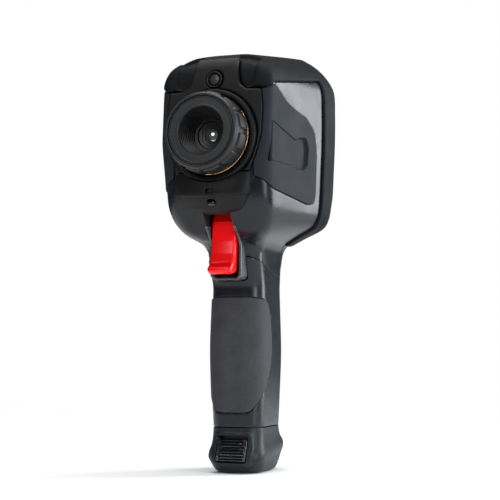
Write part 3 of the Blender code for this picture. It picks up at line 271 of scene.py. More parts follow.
def outside(*fields):
    """Outside every one of the fields."""
    joined = either(*fields)
    return lambda p: -joined(p)


def above(axis, limit):
    """Where a coordinate is more than a limit."""
    return lambda p: limit - p[:, axis]


def below(axis, limit):
    """Where a coordinate is less than a limit."""
    return lambda p: p[:, axis] - limit


def inset(field, by=SEAM):
    return lambda p: field(p) + by


def smooth(t):
    t = np.clip(t, 0, 1)
    return t * t * (3 - 2 * t)


def sunk(field, depth, width, levels):
    """A feature that goes down by depth, over a width inside a field's outline."""
    return field, lambda d: -depth * smooth(-d / width), levels


# --- meshing a region of a surface
def grid(us, vs):
    u, v = np.meshgrid(us, vs)
    uv = np.stack([u.ravel(), v.ravel()], axis=1)
    n, m = len(us), len(vs)
    i = (np.arange(m - 1)[:, None] * n + np.arange(n - 1)[None, :]).ravel()
    tris = np.concatenate([np.stack([i, i + 1, i + n + 1], 1), np.stack([i, i + n + 1, i + n], 1)])
    return uv, tris


def split(uv, tris, d):
    """Cuts the triangles along d == 0."""
    d = np.where(np.abs(d) < 2e-3, 0.0, d)
    s = np.sign(d).astype(int)
    e = np.stack([tris, np.roll(tris, -1, axis=1)], axis=2)
    crosses = s[e[:, :, 0]] * s[e[:, :, 1]] < 0
    hit = crosses.any(axis=1)
    if not hit.any():
        return uv, tris
    rest, cut_tris, cut_cross = tris[~hit], tris[hit], crosses[hit]
    pairs = np.sort(e[hit][cut_cross], axis=1)
    unique, index = np.unique(pairs, axis=0, return_inverse=True)
    t = d[unique[:, 0]] / (d[unique[:, 0]] - d[unique[:, 1]])
    fresh = uv[unique[:, 0]] + t[:, None] * (uv[unique[:, 1]] - uv[unique[:, 0]])
    middle = np.full(cut_cross.shape, -1)
    middle[cut_cross] = len(uv) + index.reshape(-1)
    made = [rest]
    count = cut_cross.sum(axis=1)
    for k in range(3):
        a, b, c = cut_tris[:, k], cut_tris[:, (k + 1) % 3], cut_tris[:, (k + 2) % 3]
        ab, bc, ca = middle[:, k], middle[:, (k + 1) % 3], middle[:, (k + 2) % 3]
        two = (count == 2) & cut_cross[:, k] & cut_cross[:, (k + 2) % 3]
        for x, y, z in ((a, ab, ca), (ab, b, c), (ab, c, ca)):
            made.append(np.stack([x[two], y[two], z[two]], 1))
        one = (count == 1) & cut_cross[:, (k + 1) % 3]
        for x, y, z in ((a, b, bc), (a, bc, c)):
            made.append(np.stack([x[one], y[one], z[one]], 1))
    return np.concatenate([uv, fresh]), np.concatenate(made)


def add_face(bm, corners):
    """Adds a face, unless the mesh already has it."""
    try:
        bm.faces.new(corners)
    except ValueError:
        pass


NEAR = 6.0  # a triangle further than this from a region can't touch it
WELD = 0.004  # points closer than about this become one
PATCH_SHARP = 38


def patch(name, surface, base, field, rise, edge, under, features=()):
    """The part of a surface where field is negative, raised by rise, with rounded edges, closed underneath.

    Each feature is (field, function of the distance, levels). It adds to the height, and the mesh is cut at its
    levels."""
    uv, tris = base
    near = field(surface(uv)) < NEAR
    tris = tris[near[tris].any(axis=1)]
    for level in (0.0, -0.12 * edge, -0.4 * edge, -edge):
        uv, tris = split(uv, tris, field(surface(uv)) - level)
    tris = tris[field(surface(uv[tris].mean(axis=1))) < 0]
    for f, _, levels in features:
        for level in levels:
            uv, tris = split(uv, tris, f(surface(uv)) - level)
    cells = np.round(surface(uv) / WELD).astype(int)
    _, first, same = np.unique(cells, axis=0, return_index=True, return_inverse=True)
    tris, uv = same.reshape(-1)[tris], uv[first]
    tris = tris[(tris[:, 0] != tris[:, 1]) & (tris[:, 1] != tris[:, 2]) & (tris[:, 0] != tris[:, 2])]
    used, tris = np.unique(tris, return_inverse=True)
    tris = tris.reshape(-1, 3)
    uv = uv[used]
    points, normal = surface(uv), normals_of(surface, uv)
    depth = np.clip(-field(points), 0, edge)
    height = rise - edge + np.sqrt(np.maximum(edge**2 - (edge - depth) ** 2, 0))
    for f, shape, _ in features:
        height = height + shape(f(points))
    outer = points + normal * height[:, None]
    inner = points + normal * under
    bm = bmesh.new()
    tops = [bm.verts.new(p * MM) for p in outer]
    for a, b, c in tris:
        add_face(bm, (tops[a], tops[b], tops[c]))
    lows = [bm.verts.new(p * MM) for p in inner]
    for a, b, c in tris:
        bm.faces.new((lows[c], lows[b], lows[a]))
    e = np.concatenate([tris[:, [0, 1]], tris[:, [1, 2]], tris[:, [2, 0]]])
    _, first, counts = np.unique(np.sort(e, 1), axis=0, return_index=True, return_counts=True)
    for a, b in e[first[counts == 1]]:
        add_face(bm, (tops[b], tops[a], lows[a], lows[b]))
    return finish_mesh(name, bm, PATCH_SHARP)


def finish_mesh(name, bm, sharp=35):
    mesh = bpy.data.meshes.new(name)
    bm.to_mesh(mesh)
    bm.free()
    obj = bpy.data.objects.new(name, mesh)
    bpy.context.scene.collection.objects.link(obj)
    mesh.shade_smooth()
    mesh.set_sharp_from_angle(angle=math.radians(sharp))
    return obj


def spread(*stops):
    """Values through the stops, each given with the number of steps up to it."""
    made = [np.array([stops[0][0]])]
    for (a, _), (b, n) in zip(stops, stops[1:]):
        made.append(np.linspace(a, b, n + 1)[1:])
    return np.concatenate(made)


HALF_U = spread((0, 0), (KNOTS[0], 16), (KNOTS[1], 12), (KNOTS[2], 34), (KNOTS[3], 12), (1.0, 18))
FULL_U = np.concatenate([-HALF_U[:0:-1], HALF_U])
ALL_V = spread((FOOT_TOP, 0), (NECK_Z, 34), (HEAD_FLOOR, 16), (175, 18), (240, 30), (HEAD_TOP, 22),
               (HEAD_TOP + ROOF_SPAN, 12))
BASE = grid(FULL_U, ALL_V)


# --- parting lines
SPLIT_Y = 8.0
STRIP_Y = 14.5
SPLIT = [
    (STRIP_Y, 0),
    (STRIP_Y, HEAD_FLOOR - 12),
    (STRIP_Y - 2, HEAD_FLOOR - 2),
    (STRIP_Y - 8, HEAD_FLOOR + 6),
    (leaning(SPLIT_Y, HEAD_FLOOR + 22), HEAD_FLOOR + 16),
    (leaning(SPLIT_Y, HEAD_TOP), HEAD_TOP + 30),
]
back_side = side_view(filleted([*SPLIT, (400, HEAD_TOP + 30), (400, 0)], [0, 6, 6, 6, 8, 0, 0, 0]))
DIAGONAL = [(-100, 141), (-31, 141), (-20, 136.2), (12, 126.2), (60, 112)]
above_diagonal = side_view([*DIAGONAL, (400, 400), (-100, 400)])
BUMPER_LOW = HEAD_FLOOR + 1.0
bumper_body = both(back_side, above(Z, BUMPER_LOW))
roof = side_view([(-80, 240.2), (-52, 243.6), (-47, 246.4), (-44, 247.8), (-1.7, 253.6), (30, 257.6), (30, 330),
                  (-80, 330)])


def in_back(p):
    """Points in the back face's own frame: to the user's right, up, and out of the face."""
    y, z = p[:, 1] - BACK_Y, p[:, 2] - LENS_Z
    return np.stack([-p[:, 0], SIN_LEAN * y + COS_LEAN * z, COS_LEAN * y - SIN_LEAN * z], 1)


BACK_REACH = 6.0  # how deep under the back face its outlines hold


def on_back(field):
    def made(p):
        q = in_back(p)
        return np.maximum(field(q[:, :2]), -BACK_REACH - q[:, 2])

    return made


def back_view(points):
    return on_back(polygon(points))


def back_disc(x, y, radius):
    return on_back(lambda q: np.hypot(q[:, 0] - x, q[:, 1] - y) - radius)


OPENING = 46.5
back_opening = back_view(filleted([(-OPENING, -44), (OPENING, -44), (OPENING, 45), (-OPENING, 45)], 7.0))
COVER = [(13.5, 285), (14.2, 262), (16.8, 247), (21.5, 243.5), (31.5, 243), (32.6, 232), (32.2, 214),
         (29.0, 202), (24.8, 191.5)]
COVER_ROUND = [0, 8, 5, 4, 1.2, 10, 20, 10, 0.8]
COVER_BACK_Y = -44.0
cover_column = front_view(
    filleted([*COVER, *[(-x, z) for x, z in reversed(COVER)]], [*COVER_ROUND, *reversed(COVER_ROUND)])
)
in_cover = both(cover_column, below(Y, COVER_BACK_Y))
in_bumper = both(either(bumper_body, roof), outside(back_opening, in_cover))
SIDE_PANEL = [(-80, 190), (-55.4, 189), (-46, 181), (-9.5, 173), (-3, 173.6), (-0.6, 178), (0.4, 204),
              (-1.9, 220.7), (-10.9, 229),
              (-22, 232.3), (-32, 236.5), (-44, 247.0), (-47, 245.6), (-52, 242.8), (-80, 239.4)]
PANEL_ROUND = [0, 0, 5, 2.5, 2.5, 2, 12, 6, 6, 12, 10, 2, 0, 0, 0]
PANEL_FRONT_X = 27.0
panel_side = side_view(filleted(SIDE_PANEL, PANEL_ROUND))
panel_sides = both(panel_side, outside(in_cover, in_bumper))
in_left_panel = both(panel_sides, above(X, PANEL_FRONT_X))
in_right_panel = both(panel_sides, below(X, -PANEL_FRONT_X))
on_left = above(X, 20)
in_front = below(Y, -10)
DOOR_FRONT, DOOR_LOW, DOOR_HIGH = -49.0, 198.2, 222.8
DOOR_ROUND = [0.6, 2.0, 2.0, 0.6]
DOOR = [
    (DOOR_FRONT + TILT * (DOOR_LOW - LENS_Z), DOOR_LOW),
    (-23.6, 196.2),
    (-20.0, 210.6),
    (DOOR_FRONT + TILT * (DOOR_HIGH - LENS_Z), DOOR_HIGH),
]
in_door = both(side_view(filleted(DOOR, DOOR_ROUND)), on_left)
HINGE_ROOM = 0.35  # in front of the door's axis, for its knuckle
DOOR_ROOM = [(DOOR[0][0] - HINGE_ROOM, DOOR_LOW), DOOR[1], DOOR[2], (DOOR[3][0] - HINGE_ROOM, DOOR_HIGH)]
door_room = both(side_view(filleted(DOOR_ROOM, DOOR_ROUND)), on_left)
SCOOP = [(-25, 194.6), (-15, 194), (-10, 197.6), (-9.4, 209.6), (-11.7, 216), (-19, 215.6), (-27, 212.6)]
in_scoop = both(side_view(filleted(SCOOP, 3.4)), on_left)
PAD_TOP, PAD_LOW = 113.5, 37.0
PAD_EDGE = [(-23, 0.0), (-12, 0.02), (-6, 0.08), (-3.4, 0.17), (-2.2, 0.33), (-2.6, 0.5), (-6.5, 0.66),
            (-13, 0.79), (-18.5, 0.88),
            (-22, 0.96), (-27, 1.0)]
in_pad = side_view(
    filleted([(-80, PAD_TOP), *[(y, PAD_TOP - (PAD_TOP - PAD_LOW) * s) for y, s in PAD_EDGE], (-80, PAD_LOW)],
             3.0)
)
TRIGGER_HALF = 8.2
TRIGGER_CLEARANCE = 0.8
RIM_WALL = 1.8
RIM_HALF = TRIGGER_HALF + TRIGGER_CLEARANCE + RIM_WALL
RIM_LOW, RIM_TOP = 124.0, 158.0
THROAT_HALF = TRIGGER_HALF + TRIGGER_CLEARANCE
trigger_slot = both(
    either(
        front_view(filleted([(-RIM_HALF, RIM_LOW), (RIM_HALF, RIM_LOW), (RIM_HALF, RIM_TOP),
                             (-RIM_HALF, RIM_TOP)], [3.6, 3.6, 0, 0])),
        front_view([(-THROAT_HALF, 140), (THROAT_HALF, 140), (THROAT_HALF, 169.5), (-THROAT_HALF, 169.5)]),
    ),
    in_front,
)


def axis_distance(up, radius):
    """Distance to a round hole along the lens's axis, its middle this far up the front face from the lens's."""
    origin = np.array([0, LENS_Y, LENS_Z])
    right, upward = np.array([1, 0, 0]), np.array([0, SIN_LEAN, COS_LEAN])

    def made(p):
        q = p - origin
        return np.where(p[:, 1] < -20, np.hypot(q @ right, q @ upward - up) - radius, 99.0)

    return made


CAMERA_UP = 36.4
collar_hole = axis_distance(0, COLLAR_RADIUS + 0.25)
camera_hole = axis_distance(CAMERA_UP, 5.35)


# --- materials
def material(name, colour, roughness, metallic=0.0, grain=0.0, grain_size=0.5, vary=0.06, tone=0.18, wear_and_sheen=0.0,
             coat=0.0,
             cells=False, stretch=(1, 1, 1), specular=0.5):
    """A procedural surface: fine grain, soft blotches in colour and roughness, lighter edges and crests, which
    are wear and, on the trigger rim and the latch ribs, painted highlight.
    """
    made = bpy.data.materials.new(name)
    made.use_nodes = True
    tree = made.node_tree
    shader = tree.nodes["Principled BSDF"]

    def fill(target, **sockets):
        for key, value in sockets.items():
            target.inputs[key.replace("_", " ")].default_value = value
        return target

    def node(kind, **sockets):
        return fill(tree.nodes.new(kind), **sockets)

    def link(a, b):
        tree.links.new(a, b)

    def ramp(source, low, high, dark, light):
        added = tree.nodes.new("ShaderNodeValToRGB")
        for stop, position, shade in zip(added.color_ramp.elements, (low, high), (dark, light)):
            stop.position = position
            stop.color = (*shade, 1)
        link(source, added.inputs["Fac"])
        return added.outputs["Color"]

    def combined(operation, *terms):
        """A Math node's output. Each term is a number or another output."""
        added = tree.nodes.new("ShaderNodeMath")
        added.operation = operation
        for socket, term in zip(added.inputs, terms):
            if isinstance(term, float):
                socket.default_value = term
            else:
                link(term, socket)
        return added.outputs["Value"]

    fill(shader, Metallic=metallic, Specular_IOR_Level=specular, Coat_Weight=coat, Coat_Roughness=0.12)
    place = node("ShaderNodeMapping", Scale=stretch)
    link(tree.nodes.new("ShaderNodeTexCoord").outputs["Object"], place.inputs["Vector"])
    fine = node("ShaderNodeTexVoronoi" if cells else "ShaderNodeTexNoise", Scale=1000 / grain_size)
    if not cells:
        fill(fine, Detail=3.0)
    broad = node("ShaderNodeTexNoise", Scale=70.0, Detail=4.0)
    for texture in (fine, broad):
        link(place.outputs["Vector"], texture.inputs["Vector"])
    grit, blotches = fine.outputs["Distance" if cells else "Fac"], broad.outputs["Fac"]

    rough = node("ShaderNodeMapRange", From_Min=0.3, From_Max=0.7, To_Min=roughness - vary,
                 To_Max=roughness + vary)
    link(blotches, rough.inputs["Value"])
    link(rough.outputs["Result"], shader.inputs["Roughness"])

    spots = combined("MULTIPLY_ADD", grit, 0.45, 0.28)
    shade = combined("MULTIPLY_ADD", blotches, 0.5, combined("MULTIPLY", spots, 0.5))
    top = ramp(shade, 0.3, 0.7, [c * (1 - tone) for c in colour], [c * (1 + tone) for c in colour])
    # Sharp edges and crests get a lighter colour: edge wear, and where the amount is high, a painted highlight.
    if wear_and_sheen:
        edges = ramp(tree.nodes.new("ShaderNodeNewGeometry").outputs["Pointiness"], 0.54, 0.66, (0, 0, 0),
                     (wear_and_sheen,) * 3)
        worn_and_sheen = tree.nodes.new("ShaderNodeMixRGB")
        worn_and_sheen.inputs[2].default_value = (*[min(c * 2.2 + 0.03, 1) for c in colour], 1)
        link(edges, worn_and_sheen.inputs[0])
        link(top, worn_and_sheen.inputs[1])
        top = worn_and_sheen.outputs["Color"]
    link(top, shader.inputs["Base Color"])
    if grain:
        bump = node("ShaderNodeBump", Strength=1.0, Distance=grain * MM)
        link(grit, bump.inputs["Height"])
        link(bump.outputs["Normal"], shader.inputs["Normal"])
    return made


GLOSS = material("gloss_shell", (0.0065, 0.0078, 0.0105), 0.29, grain=0.004, grain_size=1.6, vary=0.035,
                 wear_and_sheen=0.35, specular=0.33)
RUBBER = material("rubber", (0.0058, 0.0064, 0.0080), 0.62, grain=0.020, grain_size=0.45, vary=0.05, wear_and_sheen=0.35,
                  specular=0.12)
MATTE = material("matte_cover", (0.0042, 0.0042, 0.0048), 0.50, grain=0.014, grain_size=0.40, wear_and_sheen=0.5,
                 specular=0.22)
PANEL = material("side_grip", (0.0150, 0.0175, 0.0230), 0.66, grain=0.016, grain_size=0.40, wear_and_sheen=0.4,
                 specular=0.2)
PAD = material("grip_pad", (0.0430, 0.0430, 0.0460), 0.72, grain=0.060, grain_size=0.75, tone=0.35, wear_and_sheen=0.3,
               cells=True, specular=0.25)
RED = material("trigger_red", (0.95, 0.0016, 0.0045), 0.20, grain=0.003, grain_size=1.5, vary=0.03, tone=0.05,
               specular=0.35)
GOLD = material("accent_gold", (0.70, 0.40, 0.19), 0.22, 1.0, grain=0.003, grain_size=0.3, tone=0.1)
BLACK = material("lens_black", (0.0110, 0.0115, 0.0130), 0.40, grain=0.006, grain_size=0.25, vary=0.05,
                 wear_and_sheen=0.7, specular=0.4)
BAFFLE = material("lens_baffle", (0.0030, 0.0030, 0.0034), 0.40, grain=0.006, grain_size=0.25, wear_and_sheen=0.5,
                  specular=0.35)
GERMANIUM = material("germanium", (0.42, 0.52, 0.46), 0.10, 0.85, vary=0.03, tone=0.05)
GLASS = material("glass", (0.0050, 0.0052, 0.0062), 0.07, vary=0.02, tone=0.1, coat=0.6)
SCREEN = material("screen", (0.0120, 0.0135, 0.0170), 0.10, vary=0.02, tone=0.1, coat=0.6)
SMOKED = material("smoked_window", (0.0240, 0.0240, 0.0260), 0.42, vary=0.03, tone=0.1, coat=0.15, specular=0.3)
STEEL = material("steel", (0.50, 0.50, 0.52), 0.34, 1.0, grain=0.004, grain_size=0.2, stretch=(1, 1, 0.1))
INNER = material("inner_plastic", (0.060, 0.060, 0.066), 0.52, grain=0.01, grain_size=0.5)
BOARD = material("circuit_board", (0.016, 0.12, 0.055), 0.42, grain=0.01, grain_size=0.8, tone=0.3)
KEYS = material("key_grey", (0.040, 0.042, 0.047), 0.50, grain=0.012, grain_size=0.4, wear_and_sheen=0.4)
MARK = material("key_mark", (0.42, 0.43, 0.45), 0.45, grain=0.004, grain_size=0.3)
WRAP = material("battery_wrap", (0.022, 0.08, 0.28), 0.38, grain=0.006, grain_size=2.0)
FOOT = material("foot_black", (0.0085, 0.0093, 0.0115), 0.42, grain=0.010, grain_size=0.5, vary=0.05, wear_and_sheen=0.5,
                specular=0.3)
# The trigger rim is the same glossy black plastic as the shell, painted lighter (0.05 against 0.0065) and with
# strong edge lightening: a painted highlight along its rounded front edge.
RIM_PAINTED_HIGHLIGHT = material("rim_gloss_painted_highlight", (0.050, 0.054, 0.060), 0.26, grain=0.003, grain_size=0.8, vary=0.03, wear_and_sheen=0.6,
               coat=0.4)
# The full edge lightening (1.0) paints light crests on the ribs: a painted highlight on the ribs, along with
# wear on the button's edges.
LATCH = material("latch_black", (0.0060, 0.0064, 0.0075), 0.24, grain=0.003, grain_size=0.8, vary=0.03,
                 wear_and_sheen=1.0, coat=0.6)


def dress(obj, finish, body, node):
    """Gives a piece its material and its body, and hides the solid part it stands for."""
    obj.data.materials.clear()
    obj.data.materials.append(finish)
    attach(obj, body)
    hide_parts(node)


# --- shells, panels and covers
def frange(low, high, step):
    return np.linspace(low, high, max(int(round((high - low) / step)), 1) + 1)


def neck_inset(d):
    """A shallow step down with a groove along its edge."""
    return -0.55 * smooth(-d / 0.5) - 0.35 * np.exp(-((d / 0.22) ** 2))


door_hole = inset(in_door, 2.2)
panel_less_door = both(in_left_panel, outside(inset(door_room, -0.6)))
neck_panel = both(
    side_view(filleted([(-60, 153), (-33, 148.6), (-22.6, 144.5), (-17.0, 142.0), (-13.6, 136.8), (-9.6, 131.5),
                        (-40, 141.5),
                        (-60, 141.5)], [0, 0, 6, 3, 4, 1.5, 0, 0])),
    lambda p: 9.5 - np.abs(p[:, 0]),
)
head_front = both(
    above_diagonal,
    outside(back_side, in_bumper, in_cover, panel_less_door, in_right_panel, door_hole, trigger_slot,
            collar_hole),
)
shell = patch(
    "head_front_shell", skin, BASE, inset(head_front), 0.0, 0.3, SHELL_UNDER,
    [sunk(door_room, 1.05, 0.15, (0.0, -0.15)), (neck_panel, neck_inset, (0.4, 0.2, 0.0, -0.25, -0.5))],
)
dress(shell, GLOSS, "housing", "head_front_shell")

above_foot = above(Z, FOOT_TOP + FOOT_SEAM)
grip_front = both(outside(back_side, above_diagonal, in_pad, trigger_slot), above_foot)
shell = patch("handle_front_shell", skin, BASE, inset(grip_front), 0.0, 0.3, SHELL_UNDER)
dress(shell, GLOSS, "housing", "handle_front_shell")

BACK_U = spread((KNOTS[2] - 0.06, 0), (KNOTS[3], 14), (1.0, 64))
BACK_V = np.concatenate([spread((FOOT_TOP, 0), (NECK_Z, 34), (HEAD_FLOOR, 16)),
                         frange(HEAD_FLOOR, HEAD_TOP, 0.75)[1:]])
BACK_SIDES = [grid(BACK_U, BACK_V), grid(-BACK_U[::-1], BACK_V)]
both_backs = (
    np.concatenate([BACK_SIDES[0][0], BACK_SIDES[1][0]]),
    np.concatenate([BACK_SIDES[0][1], BACK_SIDES[1][1] + len(BACK_SIDES[0][0])]),
)
GLASS_HALF_W, GLASS_HALF_H, GLASS_MIDDLE = 40.0, 28.0, 9.5


def rectangle(x, y, half_x, half_y, radius, steps=6):
    return filleted([(x - half_x, y - half_y), (x + half_x, y - half_y), (x + half_x, y + half_y),
                     (x - half_x, y + half_y)], radius, steps)


glass_seat = back_view(rectangle(0, GLASS_MIDDLE, GLASS_HALF_W + 0.25, GLASS_HALF_H + 0.25, 3.0))
display_frame = back_view(rectangle(0, GLASS_MIDDLE, GLASS_HALF_W + 2.6, GLASS_HALF_H + 2.6, 5.0))
LOW_KEYS = -32.0
KEY_SHAPES = {
    "key_up": (0, LOW_KEYS + 8.6, 4.4, 2.3, 1.6),
    "key_down": (0, LOW_KEYS - 8.6, 4.4, 2.3, 1.6),
    "key_left": (-8.6, LOW_KEYS, 2.3, 4.4, 1.6),
    "key_right": (8.6, LOW_KEYS, 2.3, 4.4, 1.6),
    "key_ok": (0, LOW_KEYS, 4.2, 4.2, 4.0),
    "key_back": (24.0, LOW_KEYS + 5.5, 6.0, 3.4, 2.4),
    "key_gallery": (-24.0, LOW_KEYS + 5.5, 6.0, 3.4, 2.4),
    "key_power": (24.0, LOW_KEYS - 5.5, 6.0, 3.4, 2.4),
}
key_holes = [back_view(rectangle(x, y, hx + 0.4, hy + 0.4, r + 0.4)) for x, y, hx, hy, r in KEY_SHAPES.values()]
pad_ring = back_view(rectangle(0, LOW_KEYS, 12.6, 12.6, 12.0))
SCREWS = {"lower_left": (-42.5, -35.0), "lower_right": (42.5, -35.0), "upper_left": (-42.5, 41.6),
          "upper_right": (42.5, 41.6)}


screw_sinks = either(*[back_disc(x, y, 3.0) for x, y in SCREWS.values()])
slots = either(*[back_view(rectangle(27.0, -40.5 + 2.2 * k, 7.0, 0.5, 0.5, 3)) for k in range(4)])
rear = both(
    back_side,
    outside(in_bumper, glass_seat, slots, *key_holes, *[back_disc(x, y, 2.75) for x, y in SCREWS.values()]),
    above_foot,
)
shell = patch(
    "rear_shell", skin, both_backs, inset(rear, 0.1), 0.0, 0.25, SHELL_UNDER,
    [sunk(display_frame, 0.5, 0.6, (0.0, -0.3, -0.6)),
     sunk(pad_ring, 0.4, 0.8, (0.0, -0.4, -0.8)),
     sunk(screw_sinks, 1.0, 0.2, (0.0, -0.2))],
)
dress(shell, GLOSS, "housing", "rear_shell")

POCKET_LOW, POCKET_HIGH = (11.5, 243.8), (28.4, 290.0)
shoulder_low, shoulder_high = POCKET_LOW[0], POCKET_HIGH[0]
shoulders = both(
    either(*[
        front_view(filleted(
            [(side * x, z) for x, z in ((shoulder_low, POCKET_HIGH[1]), POCKET_LOW,
                                        (shoulder_high - 1, POCKET_LOW[1]), POCKET_HIGH)],
            [0, 3.5, 5.5, 0],
        ))
        for side in (1, -1)
    ]),
    below(Y, -37.6),
)
bumper = patch(
    "bumper", skin, BASE, inset(in_bumper), BUMPER_RISE, 1.3, -1.6,
    [sunk(shoulders, 2.6, 1.6, (0.0, -0.4, -0.8, -1.2, -1.6))],
)
dress(bumper, RUBBER, "housing", "bumper")

cover_field = both(in_cover, outside(collar_hole, camera_hole))
COVER_BASE = grid(spread((-0.44, 0), (0.44, 150)),
                  np.concatenate([frange(186, HEAD_TOP, 1.1), frange(HEAD_TOP, HEAD_TOP + ROOF_SPAN, 0.9)[1:]]))
cover = patch("front_cover", skin, COVER_BASE, inset(cover_field), COVER_RISE, 1.3, -0.7)
dress(cover, MATTE, "housing", "front_cover")


SIDE_V = frange(168, 250, 1.2)
for name, side, field in (("side_panel_left", 1, in_left_panel), ("side_panel_right", -1, in_right_panel)):
    us = spread((0.12, 0), (KNOTS[0], 4), (KNOTS[1], 12), (KNOTS[2], 60))
    base = grid(us if side > 0 else -us[::-1], SIDE_V)
    features = []
    if side > 0:
        field = both(field, outside(inset(door_room, -0.32)))
        features = [sunk(in_scoop, 1.95, 1.3, (0.0, -0.3, -0.65, -1.0, -1.3))]
    panel = patch(name, skin, base, inset(field), PANEL_RISE, 0.55, -2.0, features)
    dress(panel, PANEL, "housing", name)
DOOR_BASE = grid(spread((0.12, 0), (KNOTS[1], 16), (KNOTS[2], 60)), frange(192, 226, 0.9))
door = patch("port_cover", skin, DOOR_BASE, in_door, PANEL_RISE, 0.5, -0.75)
dress(door, PANEL, "port_cover", "port_cover")


# --- turned and lofted pieces
def turned(name, profile, place, steps=128, sharp=32, swell=None):
    """A profile of (radius, height) points turned about the local Z axis. One that starts and ends on the axis
    is open, any other is closed. swell(angle, radius, height) adds to the radius."""
    bm = bmesh.new()
    open_ended = profile[0][0] == 0 and profile[-1][0] == 0
    rows = []
    for k in range(steps):
        a = 2 * math.pi * k / steps
        row = []
        for r, h in profile:
            reach = r + (swell(a, r, h) if swell else 0.0)
            row.append(bm.verts.new(place @ (Vector((reach * math.cos(a), reach * math.sin(a), h)) * MM)))
        rows.append(row)
    count = len(profile)
    for k in range(steps):
        a, b = rows[k], rows[(k + 1) % steps]
        for i in range(count - 1 if open_ended else count):
            j = (i + 1) % count
            bm.faces.new((a[i], a[j], b[j], b[i]))
    bmesh.ops.remove_doubles(bm, verts=bm.verts, dist=0.000002)
    bmesh.ops.dissolve_degenerate(bm, edges=bm.edges, dist=0.000001)
    bmesh.ops.recalc_face_normals(bm, faces=bm.faces)
    return finish_mesh(name, bm, sharp)


def loft(name, rings, sharp=35):
    """Joins rings that have the same number of points, and closes both ends."""
    bm = bmesh.new()
    rows = [[bm.verts.new(Vector(p) * MM) for p in ring] for ring in rings]
    count = len(rows[0])
    for lower, upper in zip(rows, rows[1:]):
        for i in range(count):
            j = (i + 1) % count
            bm.faces.new((lower[i], lower[j], upper[j], upper[i]))
    for row in (rows[0], rows[-1]):
        bmesh.ops.triangulate(bm, faces=[bm.faces.new(row)])
    bmesh.ops.recalc_face_normals(bm, faces=bm.faces)
    return finish_mesh(name, bm, sharp)


def flat_surface(place):
    def made(uv):
        p = np.column_stack([uv, np.zeros(len(uv)), np.ones(len(uv))]) @ np.array(place).T
        return p[:, :3]

    return made


def frame_at(x, y, z, tilt_degrees):
    return Matrix.Translation((x, y, z)) @ Matrix.Rotation(math.radians(tilt_degrees), 4, "X")


def in_metres(place):
    made = place.copy()
    made.translation *= MM
    return made


LENS = frame_at(0, LENS_Y, LENS_Z, 90 - HEAD_TILT)
CAMERA = LENS @ Matrix.Translation((0, CAMERA_UP, 0))
BACK = Matrix.Translation((0, BACK_Y, LENS_Z)) @ Matrix(
    ((-1, 0, 0, 0), (0, SIN_LEAN, COS_LEAN, 0), (0, COS_LEAN, -SIN_LEAN, 0), (0, 0, 0, 1))
)
lens_place, camera_place = in_metres(LENS), in_metres(CAMERA)

door_axis_x = FACE_HALF_WIDTH + (HEAD_HALF_WIDTH - FACE_HALF_WIDTH) / (BACK_Y - FACE_Y) * (DOOR_FRONT - FACE_Y)
axis = in_metres(frame_at(door_axis_x, DOOR_FRONT, LENS_Z, -HEAD_TILT))
low, high, r = DOOR_LOW - LENS_Z, DOOR_HIGH - LENS_Z, 1.15
knuckle = turned(
    "port_cover_knuckle", filleted([(0.001, low), (r, low), (r, high), (0.001, high)], [0, 0.4, 0.4, 0], 4),
    axis, 32
)
dress(knuckle, PANEL, "port_cover", "port_cover")

# --- lens
tube_outer = MOUNT_RADIUS - 7.0
tube_inner = tube_outer - 1.4
collar = turned(
    "lens_collar",
    filleted([(25.0, -2.9), (COLLAR_RADIUS, -2.9), (COLLAR_RADIUS, 3.0), (COLLAR_RADIUS - 2.6, 3.0),
              (25.0, 0.0)], [0.2, 0.2, 1.2, 0.9, 0.4]),
    lens_place, 160,
)
dress(collar, MATTE, "housing", "lens_collar")
mount = turned(
    "lens_mount",
    filleted([(tube_inner, 14.0), (tube_outer, 14.0), (tube_outer, 1.2), (MOUNT_RADIUS, 1.2),
              (MOUNT_RADIUS, -7.5), (tube_outer + 1.4, -7.5),
              (tube_outer + 1.4, -20.0), (tube_inner, -20.0)], 0.25, 3),
    lens_place, 128,
)
dress(mount, BLACK, "housing", "lens_mount")
gold = turned(
    "gold_ring",
    filleted([(tube_outer + 0.4, 1.5), (MOUNT_RADIUS + 0.55, 1.5), (MOUNT_RADIUS + 0.55, 2.85),
              (tube_outer + 0.4, 2.85)], [0.1, 0.4, 0.5, 0.1]),
    lens_place, 160,
)
dress(gold, GOLD, "housing", "gold_ring")
LOW = 3.2
HIGH = LOW + FOCUS_LENGTH
PADS = 12
PAD_LOW, PAD_HIGH = LOW + 0.9, HIGH - 4.2


def pads(angle, r, h):
    """Wide grip pads with narrow grooves between them."""
    if r < FOCUS_RADIUS - 1.2 or not PAD_LOW < h < PAD_HIGH:
        return 0.0
    phase = abs((angle * PADS / (2 * math.pi)) % 1 - 0.5) * 2
    across = float(smooth(np.array((0.80 - phase) / 0.10)))
    along = min(h - PAD_LOW, PAD_HIGH - h) / 0.7
    return 1.15 * across * float(smooth(np.array(along)))


core = FOCUS_RADIUS - 1.1
seat = tube_outer + 0.35
thread = BARREL_RADIUS - 0.2
focus_profile = [
    *filleted([(thread, HIGH - 2), (thread, HIGH), (FOCUS_RADIUS - 2.0, HIGH), (core, HIGH - 1.1),
               (core, HIGH - 3.6)], [0, 0.3, 0.5, 0.4, 0])[1:],
    *[(core, PAD_HIGH - (PAD_HIGH - PAD_LOW) * t) for t in (0, 0.03, 0.06, 0.1, 0.25, 0.5, 0.75, 0.9, 0.94,
                                                            0.97, 1)],
    *filleted([(core, LOW + 0.5), (core, LOW), (seat, LOW), (seat, 15.2),
               (thread, 15.2)], [0, 0.3, 0.2, 0, 0])[1:],
]
focus = turned("focus_ring", focus_profile, lens_place, PADS * 24, 40, pads)
dress(focus, BLACK, "focus_ring", "focus_ring")

